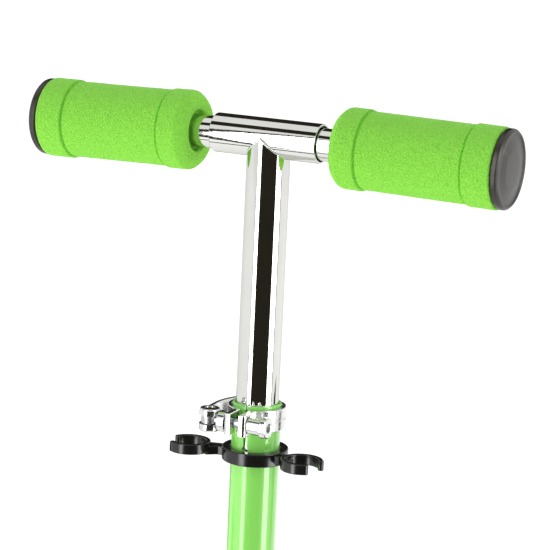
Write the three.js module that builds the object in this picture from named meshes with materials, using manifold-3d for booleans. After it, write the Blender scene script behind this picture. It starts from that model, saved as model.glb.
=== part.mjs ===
// Folding kick scooter with a telescoping T-bar, pull-out foam grips and a quick-release height clamp.
// Millimetres, +Z up. The scooter stands on z = 0, its front faces -Y, and the origin is the centre of its footprint.
import * as THREE from "three";
import { mergeVertices } from "three/addons/utils/BufferGeometryUtils.js";
import Module from "manifold-3d";

const wasm = await Module();
wasm.setup();

// ---- Driving dimensions ----
const WHEEL_R = 50;
const TYRE_HALF_W = 12;
const WHEELBASE = 485;
const REAR_OVERHANG = 60; // rear axle to the fender's tail
const RAKE = THREE.MathUtils.degToRad(6); // the column leans back from vertical

const TUBE_SIDES = 24;
const BOLT_SIDES = 12;
const GAP = 0.3; // clearance between pieces that touch
const AXLE_R = 3.9; // wheel axle bolts
const PLATE_IN = 12.8; // inner face of the fork blades and rear plates
const PLATE_T = 3.5;
const PLATE_OUT = PLATE_IN + PLATE_T;

const STEM_R = 12.7; // telescoping chrome tube
const STEM_WALL = 1.2;
const COLUMN_R = 14.5; // painted outer tube
const COLUMN_BORE = STEM_R + GAP;
const COLUMN_BOTTOM = 146; // heights along the steering axis, from the front axle
const STEERER_TOP = 200;
const BAR_HEIGHT = 722.5; // handlebar centre
const LIP = BAR_HEIGHT - 157.5; // top of the painted tube
const CLAMP_Z = [LIP - 15, LIP - 1.7];
const CLAMP_MID = (CLAMP_Z[0] + CLAMP_Z[1]) / 2;
const CLIP_Z = [BAR_HEIGHT - 193, BAR_HEIGHT - 185];
const STEM_BOTTOM = BAR_HEIGHT - 340;

const SLEEVE_R = 11.5; // cross sleeve of the T
const SLEEVE_BORE = 10.4;
const SLEEVE_HALF = 34;
const HANDLE_R = 9.5; // pull-out handle tubes
const HANDLE_WALL = 1.2;
const HANDLE_IN = 8; // inner end of a handle tube, from the T's centre
const HANDLE_PIVOT = 21; // the handles sag a little about the middle of the stretch in the sleeve
const HANDLE_SAG = THREE.MathUtils.degToRad(1);
const GRIP = [46, 144.5]; // foam, from the T's centre
const GRIP_R = 22.6;
const COLLAR_R = 23.5;
const CAP_R = 22.9;

const HEAD_Z = [70.3, 132]; // head tube along the steering axis
const HEAD_R = 19;
const NECK_HALF_W = 13;
const BRACKET_IN = NECK_HALF_W + 0.4;
const BRACKET_OUT = BRACKET_IN + 3;

const DECK_Y = [-112, 182.5];
const DECK_HALF_W = 50;
const DECK_TOP = 76;
const DECK_SKIN = 4;
const DECK_UNDER = DECK_TOP - DECK_SKIN;

const FRONT_AXLE_Y = -(WHEELBASE + WHEEL_R + REAR_OVERHANG) / 2 + WHEEL_R;
const REAR_AXLE_Y = FRONT_AXLE_Y + WHEELBASE;
const PIVOT = [FRONT_AXLE_Y + 84, 78]; // fold pivot, as y and z
const LOCK_RADIUS = 30; // fold pivot to lock skewer
const LOCK_ANGLE = THREE.MathUtils.degToRad(-40);
const FOLD_TURN = THREE.MathUtils.degToRad(84);
const LOCK = [PIVOT[0] + LOCK_RADIUS * Math.cos(LOCK_ANGLE), PIVOT[1] + LOCK_RADIUS * Math.sin(LOCK_ANGLE)];
const LOCK_R = 3.8;
const FENDER_R = [56, 58];
const FENDER_PIN = [REAR_AXLE_Y - 49.5, 84];

// ---- Finishes ----
const finish = (color, roughness, metalness) => new THREE.MeshStandardMaterial({ color, roughness, metalness });
const CHROME = finish("#d8dade", 0.08, 1);
const STEEL = finish("#b9bcc0", 0.3, 1);
const GREEN_PAINT = finish("#6fe23c", 0.2, 0);
const GREEN_FOAM = finish("#82e63a", 0.9, 0);
const BLACK_PLASTIC = finish("#1c1b1b", 0.35, 0);
const GREY_RUBBER = finish("#4a4646", 0.55, 0);
const ALUMINIUM = finish("#c3c7cb", 0.35, 1);
const WHITE_CORE = finish("#e9ebec", 0.4, 0);
const TYRE_GREEN = finish("#79dd3c", 0.45, 0);
const TAPE = finish("#262626", 0.95, 0);

// ---- Solid helpers ----
const X = new THREE.Vector3(1, 0, 0);
const Y = new THREE.Vector3(0, 1, 0);
const Z = new THREE.Vector3(0, 0, 1);
const SIDE_VIEW = new THREE.Matrix4().makeBasis(Y, Z, X); // a shape drawn in y, z and given depth along x
const END_VIEW = new THREE.Matrix4().makeBasis(X, Z, Y.clone().negate()); // drawn in x, z, depth along -y

function solid(geometry) {
  const plain = new THREE.BufferGeometry().setAttribute(
    "position",
    (geometry.index ? geometry.toNonIndexed() : geometry).getAttribute("position"),
  );
  const merged = mergeVertices(plain, 1e-4);
  const mesh = new wasm.Mesh({
    numProp: 3,
    vertProperties: merged.attributes.position.array,
    triVerts: new Uint32Array(merged.index.array),
  });
  return new wasm.Manifold(mesh);
}

function geometryOf(manifold) {
  const mesh = manifold.getMesh();
  return new THREE.BufferGeometry()
    .setAttribute("position", new THREE.BufferAttribute(new Float32Array(mesh.vertProperties), 3))
    .setIndex(new THREE.BufferAttribute(new Uint32Array(mesh.triVerts), 1));
}

const join = (...parts) => geometryOf(parts.map(solid).reduce((a, b) => a.add(b)));
const cut = (body, ...tools) => geometryOf(tools.map(solid).reduce((a, b) => a.subtract(b), solid(body)));
const overlap = (a, b) => geometryOf(solid(a).intersect(solid(b)));
const move = (geometry, x, y, z) => geometry.clone().translate(x, y, z);

// A profile of [radius, height] pairs, turned about Z or X. A ring's profile runs anticlockwise and closes on itself.
function turned(profile, axis = "z", sides = TUBE_SIDES) {
  const geometry = new THREE.LatheGeometry(
    profile.map(([r, h]) => new THREE.Vector2(r, h)),
    sides,
  );
  return axis === "z" ? geometry.rotateX(Math.PI / 2) : geometry.rotateZ(-Math.PI / 2);
}
const rod = (r, from, to, axis = "z", sides = TUBE_SIDES) =>
  turned([[0, from], [r, from], [r, to], [0, to]], axis, sides);
const ring = (rOut, rIn, from, to, axis = "z", sides = TUBE_SIDES) =>
  turned([[rIn, from], [rOut, from], [rOut, to], [rIn, to], [rIn, from]], axis, sides);
const block = ([x0, x1], [y0, y1], [z0, z1]) =>
  new THREE.BoxGeometry(x1 - x0, y1 - y0, z1 - z0).translate((x0 + x1) / 2, (y0 + y1) / 2, (z0 + z1) / 2);

function extruded(shape, depth, matrix, offset, curveSegments = 6) {
  const geometry = new THREE.ExtrudeGeometry(shape, { depth, bevelEnabled: false, curveSegments });
  geometry.translate(0, 0, offset);
  return matrix ? geometry.applyMatrix4(matrix) : geometry;
}
// A plate drawn in y and z, between two x values.
const sidePlate = (shape, from, to, curveSegments) => extruded(shape, to - from, SIDE_VIEW, from, curveSegments);
// A plate drawn in x and y, between two z values.
const flatPlate = (shape, from, to, curveSegments) => extruded(shape, to - from, null, from, curveSegments);

function outline(points) {
  return new THREE.Shape(points.map(([a, b]) => new THREE.Vector2(a, b)));
}

function roundedRectangle(x0, x1, y0, y1, r) {
  const shape = new THREE.Shape();
  shape.moveTo(x0 + r, y0);
  shape.lineTo(x1 - r, y0).absarc(x1 - r, y0 + r, r, -Math.PI / 2, 0);
  shape.lineTo(x1, y1 - r).absarc(x1 - r, y1 - r, r, 0, Math.PI / 2);
  shape.lineTo(x0 + r, y1).absarc(x0 + r, y1 - r, r, Math.PI / 2, Math.PI);
  shape.lineTo(x0, y0 + r).absarc(x0 + r, y0 + r, r, Math.PI, 1.5 * Math.PI);
  return shape;
}

// A band of a circle between two radii and two angles.
function sector(cy, cz, rIn, rOut, from, to) {
  const shape = new THREE.Shape();
  shape.absarc(cy, cz, rOut, from, to, false);
  shape.absarc(cy, cz, rIn, to, from, true);
  return shape;
}

const scooter = new THREE.Group();
function add(parent, name, geometry, material) {
  const mesh = new THREE.Mesh(geometry, material);
  mesh.name = name;
  parent.add(mesh);
  return mesh;
}

// ---- Wheels ----
// The tread is a little flat, and one side of the turned polygon lies on the ground.
const TYRE_SIDES = 32;
function tyre() {
  const tread = WHEEL_R / Math.cos(Math.PI / TYRE_SIDES);
  return turned(
    [[36.3, -9.5], [40, -TYRE_HALF_W], [46.5, -TYRE_HALF_W], [49, -10], [tread, -6], [tread, 6],
      [49, 10], [46.5, TYRE_HALF_W], [40, TYRE_HALF_W], [36.3, 9.5], [36.3, -9.5]],
    "x", TYRE_SIDES,
  ).rotateX(Math.PI / TYRE_SIDES);
}

const BEARING_R = 11;
const SEAT_R = BEARING_R + GAP;
function wheelCore() {
  const rim = ring(36, 31, -9.5, 9.5, "x", TYRE_SIDES).rotateX(Math.PI / TYRE_SIDES);
  const hub = rod(15, -11.5, 11.5, "x", 16);
  const web = rod(33, -2.5, 2.5, "x", 16);
  const spokes = [0, 1, 2, 3, 4].map((i) =>
    block([-4.5, 4.5], [-4, 4], [12, 33]).rotateX((i * 2 * Math.PI) / 5),
  );
  const seats = [rod(SEAT_R, -12, -4.8, "x", 16), rod(SEAT_R, 4.8, 12, "x", 16), rod(9, -6, 6, "x", 16)];
  return cut(join(rim, hub, web, ...spokes), ...seats);
}

function addWheel(parent, place, turn = 0) {
  add(parent, `${place}_tyre`, tyre().rotateX(turn), TYRE_GREEN);
  add(parent, `${place}_wheel_core`, wheelCore().rotateX(turn), WHITE_CORE);
  add(parent, `${place}_bearing_left`, ring(BEARING_R, AXLE_R + GAP, 5, 12, "x", 16), STEEL);
  add(parent, `${place}_bearing_right`, ring(BEARING_R, AXLE_R + GAP, -12, -5, "x", 16), STEEL);
  add(parent, `${place}_bearing_spacer`, ring(6, AXLE_R + GAP, -4.7, 4.7, "x", 16), ALUMINIUM);
}

// The axle bolt's button head is on the right, its nut on the left.
function addAxle(parent, place) {
  const head = turned(
    [[0, -PLATE_OUT - 5], [4.5, -PLATE_OUT - 4.6], [7, -PLATE_OUT - 2.6], [7, -PLATE_OUT - GAP], [0, -PLATE_OUT - GAP]],
    "x", 16,
  );
  const shank = rod(AXLE_R, -PLATE_OUT - 1, PLATE_OUT + 7.5, "x", 16);
  const socket = rod(2.9, -PLATE_OUT - 6, -PLATE_OUT - 2.5, "x", 6);
  add(parent, `${place}_axle_bolt`, cut(join(head, shank), socket), STEEL);
  add(parent, `${place}_axle_nut`, hexNut(7.4, AXLE_R + GAP, PLATE_OUT + GAP, PLATE_OUT + 6), STEEL);
}

function hexNut(r, bore, from, to) {
  return cut(rod(r, from, to, "x", 6), rod(bore, from - 1, to + 1, "x", 16));
}

// ---- Steering assembly: everything here is placed along the steering axis, from the front axle ----
const steering = new THREE.Group();
steering.position.set(0, FRONT_AXLE_Y, WHEEL_R);
steering.rotation.x = -RAKE;
scooter.add(steering);
steering.updateMatrix();

function fork() {
  const blade = new THREE.Shape();
  blade.absarc(0, 0, 11, Math.PI, 2 * Math.PI).lineTo(11, 60).lineTo(-11, 60);
  const blades = [sidePlate(blade, -PLATE_OUT, -PLATE_IN, 10), sidePlate(blade, PLATE_IN, PLATE_OUT, 10)];
  const crown = flatPlate(roundedRectangle(-PLATE_OUT, PLATE_OUT, -11, 11, 3), 58, 64, 4);
  const seat = rod(17, 62, 65);
  const steerer = rod(STEM_R, 60, STEERER_TOP);
  const bore = rod(10.2, 50, STEERER_TOP + 1);
  const axleHole = rod(AXLE_R + GAP, -20, 20, "x", 16);
  return cut(join(...blades, crown, seat, steerer), bore, axleHole);
}
add(steering, "fork", fork(), CHROME);
addWheel(steering, "front", RAKE);
addAxle(steering, "front");

const NECK_BORE = 15.6;
const BEARING_BORE = STEM_R + 0.6;
add(steering, "lower_bearing_cup", ring(HEAD_R, BEARING_BORE, 65.3, HEAD_Z[0] - GAP), ALUMINIUM);
add(steering, "lower_headset_bearing", ring(NECK_BORE - GAP, BEARING_BORE, HEAD_Z[0] + 0.5, HEAD_Z[0] + 7.5), STEEL);
add(steering, "upper_headset_bearing", ring(NECK_BORE - GAP, BEARING_BORE, HEAD_Z[1] - 7.5, HEAD_Z[1] - 0.5), STEEL);
add(steering, "upper_bearing_cup", ring(HEAD_R, BEARING_BORE, HEAD_Z[1] + GAP, 137.5), ALUMINIUM);
add(steering, "headset_locknut", cut(rod(18, 138, COLUMN_BOTTOM - 1, "z", 6), rod(STEM_R + GAP, 130, 150)), STEEL);

// The painted tube is slit at the front so that the height clamp can close it, with a round end to the slit.
function column() {
  const wall = ring(COLUMN_R, COLUMN_BORE, COLUMN_BOTTOM, LIP);
  const slit = block([-1, 1], [-20, -8], [CLIP_Z[1] + 1, LIP + 1]);
  const slitEnd = rod(2, 8, 20, "z", BOLT_SIDES).rotateX(Math.PI / 2).translate(0, 0, CLIP_Z[1] + 1);
  const baseSlit = block([-1, 1], [8, 20], [COLUMN_BOTTOM - 1, COLUMN_BOTTOM + 22]);
  return cut(wall, slit, slitEnd, baseSlit);
}
add(steering, "steering_column", column(), GREEN_PAINT);

// Two-bolt clamp that holds the painted tube on the fork's steerer. Its ears face back.
const BASE_CLAMP_Z = [COLUMN_BOTTOM + 1, COLUMN_BOTTOM + 27];
const BASE_BOLT_Y = 25;
const BASE_BOLT_Z = [BASE_CLAMP_Z[0] + 7, BASE_CLAMP_Z[1] - 7];
function baseClamp() {
  const collar = rod(19.5, BASE_CLAMP_Z[0], BASE_CLAMP_Z[1]);
  const ears = block([-8, 8], [10, 31], BASE_CLAMP_Z);
  const bore = rod(COLUMN_R + GAP, BASE_CLAMP_Z[0] - 1, BASE_CLAMP_Z[1] + 1);
  const split = block([-1.5, 1.5], [12, 32], [BASE_CLAMP_Z[0] - 1, BASE_CLAMP_Z[1] + 1]);
  const holes = BASE_BOLT_Z.map((z) => move(rod(2.8, -20, 20, "x", BOLT_SIDES), 0, BASE_BOLT_Y, z));
  return cut(join(collar, ears), bore, split, ...holes);
}
add(steering, "column_base_clamp", baseClamp(), ALUMINIUM);
function capScrew(headR, shankR, headFrom, headTo, tip) {
  const screw = join(rod(headR, headFrom, headTo, "x", BOLT_SIDES), rod(shankR, headTo - 1, tip, "x", BOLT_SIDES));
  return cut(screw, rod(headR * 0.55, headFrom - 1, headFrom + 2.2, "x", 6));
}
["lower", "upper"].forEach((place, i) => {
  const screw = move(capScrew(4.2, 2.5, -12.3, -8.3, 9), 0, BASE_BOLT_Y, BASE_BOLT_Z[i]);
  add(steering, `base_clamp_bolt_${place}`, screw, STEEL);
});

// ---- Height clamp: a split band whose ears are pulled together by a skewer and a cam lever ----
const SKEWER_Y = -24;
const EAR = [2.8, 7];
const PIN_X = -19;
function clampBand() {
  const band = rod(17.4, ...CLAMP_Z);
  const ears = flatPlate(roundedRectangle(-EAR[1], EAR[1], -30, -12, 2), ...CLAMP_Z, 4);
  const bore = rod(COLUMN_R + GAP, CLAMP_Z[0] - 1, CLAMP_Z[1] + 1);
  const split = block([-EAR[0], EAR[0]], [-32, -8], [CLAMP_Z[0] - 1, CLAMP_Z[1] + 1]);
  const hole = move(rod(2.9, -10, 10, "x", BOLT_SIDES), 0, SKEWER_Y, CLAMP_MID);
  return cut(join(band, ears), bore, split, hole);
}
add(steering, "height_clamp_band", clampBand(), CHROME);

const skewer = join(
  rod(2.5, PIN_X + 4, 13, "x", BOLT_SIDES),
  move(cut(rod(5, -2.2, 2.2, "z", 16), rod(3.2, -3, 3, "z", 16)), PIN_X, 0, 0),
);
add(steering, "clamp_skewer", move(skewer, 0, SKEWER_Y, CLAMP_MID), STEEL);
add(steering, "clamp_lever_pin", move(rod(2.9, -6.6, 6.6, "z", BOLT_SIDES), PIN_X, SKEWER_Y, CLAMP_MID), CHROME);
const camSeat = cut(rod(6.3, -12.2, -EAR[1] - GAP, "x", 24), rod(2.9, -13, -7, "x", BOLT_SIDES));
add(steering, "clamp_cam_seat", move(camSeat, 0, SKEWER_Y, CLAMP_MID), CHROME);

// The lever's closed shape hugs the left side of the column and ends behind it.
function clampLever() {
  const outer = [[-25.2, -24], [-27.6, -10], [-27.4, 4], [-23, 17], [-13, 27.5], [-6, 30.5]];
  const inner = [[-5, 27.2], [-11.5, 24.2], [-20, 14.5], [-23.7, 3], [-23.8, -8], [-20.5, -17.9]];
  const shape = new THREE.Shape();
  shape.moveTo(PIN_X, SKEWER_Y - 6.2);
  shape.absarc(PIN_X, SKEWER_Y, 6.2, -Math.PI / 2, -Math.PI, true);
  shape.splineThru(outer.map(([a, b]) => new THREE.Vector2(a, b)));
  shape.lineTo(...inner[0]);
  shape.splineThru(inner.slice(1).map(([a, b]) => new THREE.Vector2(a, b)));
  shape.lineTo(PIN_X + 1, SKEWER_Y + 6.1);
  shape.absarc(PIN_X, SKEWER_Y, 6.2, Math.PI / 2 - 0.15, -Math.PI / 2, true);
  const body = flatPlate(shape, -6, 6, 5);
  const forkSlot = cut(rod(9.5, -2.6, 2.6, "z", 16), block([-30, -4], [5.5, 12], [-4, 4]));
  const hole = rod(3.2, -8, 8, "z", 16);
  return cut(body, move(forkSlot, PIN_X, SKEWER_Y, 0), move(hole, PIN_X, SKEWER_Y, 0));
}
add(steering, "clamp_lever", move(clampLever(), 0, 0, CLAMP_MID), CHROME);

function adjustingNut() {
  const body = turned(
    [[0, EAR[1] + GAP], [5.2, EAR[1] + GAP], [5.2, 15.5], [6.4, 16], [6.4, 19], [5.8, 19.6], [0, 19.6]],
    "x", 24,
  );
  return cut(body, rod(2.8, EAR[1], 14, "x", BOLT_SIDES), rod(3, 17, 21, "x", 6));
}
add(steering, "clamp_adjusting_nut", move(adjustingNut(), 0, SKEWER_Y, CLAMP_MID), CHROME);

// ---- Clip that stores the pulled-out handles: a ring on the column and an open C at each side ----
const CLIP_C = [37, -13.5];
const CLIP_C_R = [9.8, 12.6];
const CLIP_MOUTH = [THREE.MathUtils.degToRad(24), THREE.MathUtils.degToRad(-54)];
function gripClip() {
  const hoop = rod(19.8, ...CLIP_Z);
  const bore = rod(COLUMN_R + GAP, CLIP_Z[0] - 1, CLIP_Z[1] + 1);
  const armZ = [CLIP_Z[0] + 1.5, CLIP_Z[1] - 0.4];
  const clawZ = [CLIP_Z[0] + 2.4, CLIP_Z[1] + 1.2];
  const arm = flatPlate(outline([[14, -1], [28, -4.6], [26, -15], [16.5, -8.2]]), ...armZ);
  const claw = flatPlate(sector(...CLIP_C, ...CLIP_C_R, CLIP_MOUTH[0], CLIP_MOUTH[1] + 2 * Math.PI), ...clawZ, 14);
  const inside = move(rod(CLIP_C_R[0], CLIP_Z[0] - 1, CLIP_Z[1] + 2, "z", 20), CLIP_C[0], CLIP_C[1], 0);
  const side = cut(join(arm, claw), inside);
  const mirrored = geometryOf(solid(side).mirror([1, 0, 0]));
  return cut(join(hoop, side, mirrored), bore);
}
add(steering, "grip_clip", gripClip(), BLACK_PLASTIC);

// ---- Telescoping T-bar ----
const bar = new THREE.Group();
bar.position.z = BAR_HEIGHT;
steering.add(bar);

const STEM_FOOT = STEM_BOTTOM - BAR_HEIGHT;
function stem() {
  const roof = outline([[-14, STEM_FOOT - 1], [14, STEM_FOOT - 1], [14, -11.9], [0, 0.3], [-14, -11.9]]);
  const upright = overlap(rod(STEM_R, STEM_FOOT, 2), extruded(roof, 30, END_VIEW, -15));
  const sleeve = rod(SLEEVE_R, -SLEEVE_HALF, SLEEVE_HALF, "x");
  const uprightBore = rod(STEM_R - STEM_WALL, STEM_FOOT - 1, -SLEEVE_BORE - 3);
  const sleeveBore = rod(SLEEVE_BORE, -SLEEVE_HALF - 1, SLEEVE_HALF + 1, "x");
  const buttonHoles = [-1, 1].map((side) => move(rod(3, 5, 15, "z", BOLT_SIDES).rotateX(-Math.PI / 2), side * 26, 0, 0));
  return cut(join(upright, sleeve), uprightBore, sleeveBore, ...buttonHoles);
}
add(bar, "handlebar_stem", stem(), CHROME);
const bush = turned([[0, STEM_FOOT - 4], [STEM_R, STEM_FOOT - 4], [STEM_R, STEM_FOOT - GAP],
  [STEM_R - STEM_WALL - GAP, STEM_FOOT - GAP], [STEM_R - STEM_WALL - GAP, STEM_FOOT + 10], [0, STEM_FOOT + 10]]);
add(bar, "stem_end_bush", bush, BLACK_PLASTIC);

// A handle is made pointing along +X and turned round for the other side.
const handleTube = () => {
  const wall = ring(HANDLE_R, HANDLE_R - HANDLE_WALL, HANDLE_IN, GRIP[1] - 1, "x");
  return cut(wall, move(rod(2.9, 5, 12, "z", BOLT_SIDES).rotateX(-Math.PI / 2), 26, 0, 0));
};

function foamGrip() {
  const [a, b] = GRIP;
  const bore = HANDLE_R + GAP;
  return turned(
    [[bore, a + 9], [12.3, a + 7], [12.3, a + 1], [14, a], [19, a], [22.3, a + 1.6], [COLLAR_R, a + 5],
      [COLLAR_R, a + 16.4], [GRIP_R, a + 17.4], [GRIP_R, b - 19], [COLLAR_R, b - 18], [COLLAR_R, b - 1.5],
      [COLLAR_R - 1.2, b], [bore, b], [bore, a + 9]],
    "x", 24,
  );
}

function endCap() {
  const face = GRIP[1] + GAP;
  return turned(
    [[0, face - 16], [7.6, face - 16], [7.9, face], [CAP_R - 0.8, face], [CAP_R, face + 0.9], [CAP_R, face + 3.7],
      [CAP_R - 1.2, face + 4.7], [CAP_R - 2.6, face + 4.9], [12, face + 5.6], [0, face + 5.9]],
    "x", 24,
  );
}

// A folded spring leaf inside the tube that pushes the button out through the tube and the sleeve.
function snapButton() {
  const spring = outline([[20, -7.2], [46.6, -2.4], [46.6, -1.4], [20, 5.6], [20, 4.9], [44.4, -1.9], [20, -6.5]]);
  const legs = flatPlate(spring, -2.5, 2.5);
  const button = turned([[0, 3.6], [2.4, 3.6], [2.4, 11.6], [1.6, 12.6], [0, 12.9]], "z", BOLT_SIDES).rotateX(-Math.PI / 2);
  return join(legs, move(button, 26, 0, 0));
}

for (const [name, side] of [["left", 1], ["right", -1]]) {
  const handle = new THREE.Group();
  handle.position.x = side * HANDLE_PIVOT;
  handle.rotation.y = side * HANDLE_SAG;
  bar.add(handle);
  // The rider's left is +X.
  const place = (geometry) => {
    const facing = side > 0 ? geometry.clone() : geometryOf(solid(geometry).mirror([1, 0, 0]));
    return facing.translate(-side * HANDLE_PIVOT, 0, 0);
  };
  add(handle, `${name}_handle_tube`, place(handleTube()), CHROME);
  add(handle, `${name}_foam_grip`, place(foamGrip()), GREEN_FOAM);
  add(handle, `${name}_end_cap`, place(endCap()), GREY_RUBBER);
  add(handle, `${name}_snap_button`, place(snapButton()), STEEL);
}

// ---- Folding neck: the head tube and the arm that turns on the fold pivot ----
const LUG_R = 38;
function neck() {
  const [py, pz] = PIVOT;
  const head = rod(HEAD_R, ...HEAD_Z).applyMatrix4(steering.matrix);
  const bore = rod(NECK_BORE, HEAD_Z[0] - 1, HEAD_Z[1] + 1).applyMatrix4(steering.matrix);
  const arm = new THREE.Shape();
  arm.moveTo(FRONT_AXLE_Y + 15, 173);
  arm.lineTo(FRONT_AXLE_Y + 42, 170);
  arm.lineTo(py + LUG_R * Math.cos(1.08), pz + LUG_R * Math.sin(1.08));
  arm.absarc(py, pz, LUG_R, 1.08, -1.0, true);
  arm.absarc(py, pz, 14, -1.6, -2.4, true);
  arm.lineTo(FRONT_AXLE_Y + 24, 128);
  arm.lineTo(FRONT_AXLE_Y + 12, 134);
  const slot = new THREE.Shape();
  const [slotIn, slotOut] = [LOCK_RADIUS - LOCK_R - GAP, LOCK_RADIUS + LOCK_R + GAP];
  slot.absarc(py, pz, slotOut, LOCK_ANGLE, LOCK_ANGLE + FOLD_TURN, false);
  slot.absarc(py + LOCK_RADIUS * Math.cos(LOCK_ANGLE + FOLD_TURN), pz + LOCK_RADIUS * Math.sin(LOCK_ANGLE + FOLD_TURN),
    LOCK_R + GAP, LOCK_ANGLE + FOLD_TURN, LOCK_ANGLE + FOLD_TURN + Math.PI, false);
  slot.absarc(py, pz, slotIn, LOCK_ANGLE + FOLD_TURN, LOCK_ANGLE, true);
  slot.absarc(...LOCK, LOCK_R + GAP, LOCK_ANGLE + Math.PI, LOCK_ANGLE + 2 * Math.PI, false);
  const pivotHole = move(rod(4.3, -20, 20, "x", 24), 0, py, pz);
  return cut(
    join(head, sidePlate(arm, -NECK_HALF_W, NECK_HALF_W, 12)),
    bore, sidePlate(slot, -20, 20, 8), pivotHole,
  );
}
add(scooter, "folding_neck", neck(), GREEN_PAINT);

// ---- Deck and its brackets ----
const FLANGE_Z = [DECK_UNDER - 3.3, DECK_UNDER - GAP];
const FLANGE_HALF_W = 30;
const BOLT_X = 23;
const FRONT_BOLT_Y = -85;
const REAR_BOLT_Y = 135;
const boltHoles = (y) => [-1, 1].map((side) => move(rod(2.8, 50, 90, "z", BOLT_SIDES), side * BOLT_X, y, 0));

function frontBracket() {
  const [py, pz] = PIVOT;
  const shape = new THREE.Shape();
  shape.absarc(py, pz, 16, Math.PI * 1.1, Math.PI * 0.35, true);
  shape.lineTo(DECK_Y[0] - 4, pz + 2);
  shape.lineTo(DECK_Y[0] - 1, DECK_UNDER - GAP);
  shape.lineTo(-45, DECK_UNDER - GAP).lineTo(-45, 60).lineTo(-112, 47);
  shape.absarc(...LOCK, 12, -Math.PI / 2, -Math.PI * 0.8, true);
  const plates = [sidePlate(shape, -BRACKET_OUT, -BRACKET_IN, 8), sidePlate(shape, BRACKET_IN, BRACKET_OUT, 8)];
  const flange = flatPlate(roundedRectangle(-FLANGE_HALF_W, FLANGE_HALF_W, DECK_Y[0] + 4, -48, 6), ...FLANGE_Z, 4);
  const pivotHole = move(rod(4.3, -20, 20, "x", 24), 0, py, pz);
  const lockHole = move(rod(LOCK_R + GAP, -20, 20, "x", 24), 0, ...LOCK);
  return cut(join(...plates, flange), pivotHole, lockHole, ...boltHoles(FRONT_BOLT_Y));
}
add(scooter, "front_bracket", frontBracket(), STEEL);

function deck() {
  const half = outline([
    [-DECK_HALF_W, 60], [-DECK_HALF_W + 3, 60], [-DECK_HALF_W + 3, DECK_UNDER], [-36, DECK_UNDER], [-36, 67],
    [-33, 67], [-33, DECK_UNDER], [33, DECK_UNDER], [33, 67], [36, 67], [36, DECK_UNDER],
    [DECK_HALF_W - 3, DECK_UNDER], [DECK_HALF_W - 3, 60], [DECK_HALF_W, 60], [DECK_HALF_W, DECK_TOP - 3],
    [DECK_HALF_W - 0.9, DECK_TOP - 0.9], [DECK_HALF_W - 3, DECK_TOP], [-DECK_HALF_W + 3, DECK_TOP],
    [-DECK_HALF_W + 0.9, DECK_TOP - 0.9], [-DECK_HALF_W, DECK_TOP - 3],
  ]);
  const bar = extruded(half, DECK_Y[1] - DECK_Y[0], END_VIEW, -DECK_Y[1]);
  const plan = flatPlate(roundedRectangle(-DECK_HALF_W - 1, DECK_HALF_W + 1, DECK_Y[0], DECK_Y[1], 14), 50, 90, 6);
  return cut(overlap(bar, plan), ...boltHoles(FRONT_BOLT_Y), ...boltHoles(REAR_BOLT_Y));
}
add(scooter, "deck", deck(), ALUMINIUM);
const tape = roundedRectangle(-41, 41, DECK_Y[0] + 14, DECK_Y[1] - 12, 10);
add(scooter, "grip_tape", flatPlate(tape, DECK_TOP + 0.1, DECK_TOP + 1.1, 6), TAPE);

for (const [place, y] of [["front", FRONT_BOLT_Y], ["rear", REAR_BOLT_Y]]) {
  for (const [name, side] of [["left", 1], ["right", -1]]) {
    const under = FLANGE_Z[0] - GAP;
    const bolt = join(rod(4.5, under - 3.5, under, "z", 6), rod(2.5, under - 1, DECK_TOP - 0.5, "z", BOLT_SIDES));
    add(scooter, `${place}_deck_bolt_${name}`, move(bolt, side * BOLT_X, y, 0), STEEL);
  }
}

function rearBracket() {
  const [py, pz] = FENDER_PIN;
  const shape = new THREE.Shape();
  shape.moveTo(100, DECK_UNDER - GAP).lineTo(100, 60).lineTo(150, 50);
  shape.lineTo(REAR_AXLE_Y - 10, WHEEL_R - 12);
  shape.absarc(REAR_AXLE_Y, WHEEL_R, 13, -Math.PI * 0.6, Math.PI * 0.45, false);
  shape.lineTo(py + 12, 70).lineTo(py + 5.2, pz);
  shape.absarc(py, pz, 5.2, 0, Math.PI, false);
  shape.lineTo(DECK_Y[1] + 0.8, pz).lineTo(DECK_Y[1] + 0.8, DECK_UNDER - GAP);
  const plates = [sidePlate(shape, -PLATE_OUT, -PLATE_IN, 8), sidePlate(shape, PLATE_IN, PLATE_OUT, 8)];
  const flange = flatPlate(roundedRectangle(-FLANGE_HALF_W, FLANGE_HALF_W, 103, 168, 6), ...FLANGE_Z, 4);
  const axleHole = move(rod(AXLE_R + GAP, -20, 20, "x", 24), 0, REAR_AXLE_Y, WHEEL_R);
  const pinHole = move(rod(2.3, -20, 20, "x", BOLT_SIDES), 0, py, pz);
  return cut(join(...plates, flange), axleHole, pinHole, ...boltHoles(REAR_BOLT_Y));
}
add(scooter, "rear_bracket", rearBracket(), STEEL);

// ---- Fold pivot and lock ----
const PIVOT_R = 4;
const place = (geometry, [y, z]) => move(geometry, 0, y, z);
const pivotBolt = join(
  turned([[0, -BRACKET_OUT - 4.6], [5, -BRACKET_OUT - 4.2], [7.5, -BRACKET_OUT - 2], [7.5, -BRACKET_OUT - GAP],
    [0, -BRACKET_OUT - GAP]], "x", 24),
  rod(PIVOT_R, -BRACKET_OUT - 1, BRACKET_OUT + 7.5, "x", 24),
);
add(scooter, "fold_pivot_bolt", place(pivotBolt, PIVOT), STEEL);
add(scooter, "fold_pivot_nut", place(hexNut(7.6, PIVOT_R + GAP, BRACKET_OUT + GAP, BRACKET_OUT + 6), PIVOT), STEEL);

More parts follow.
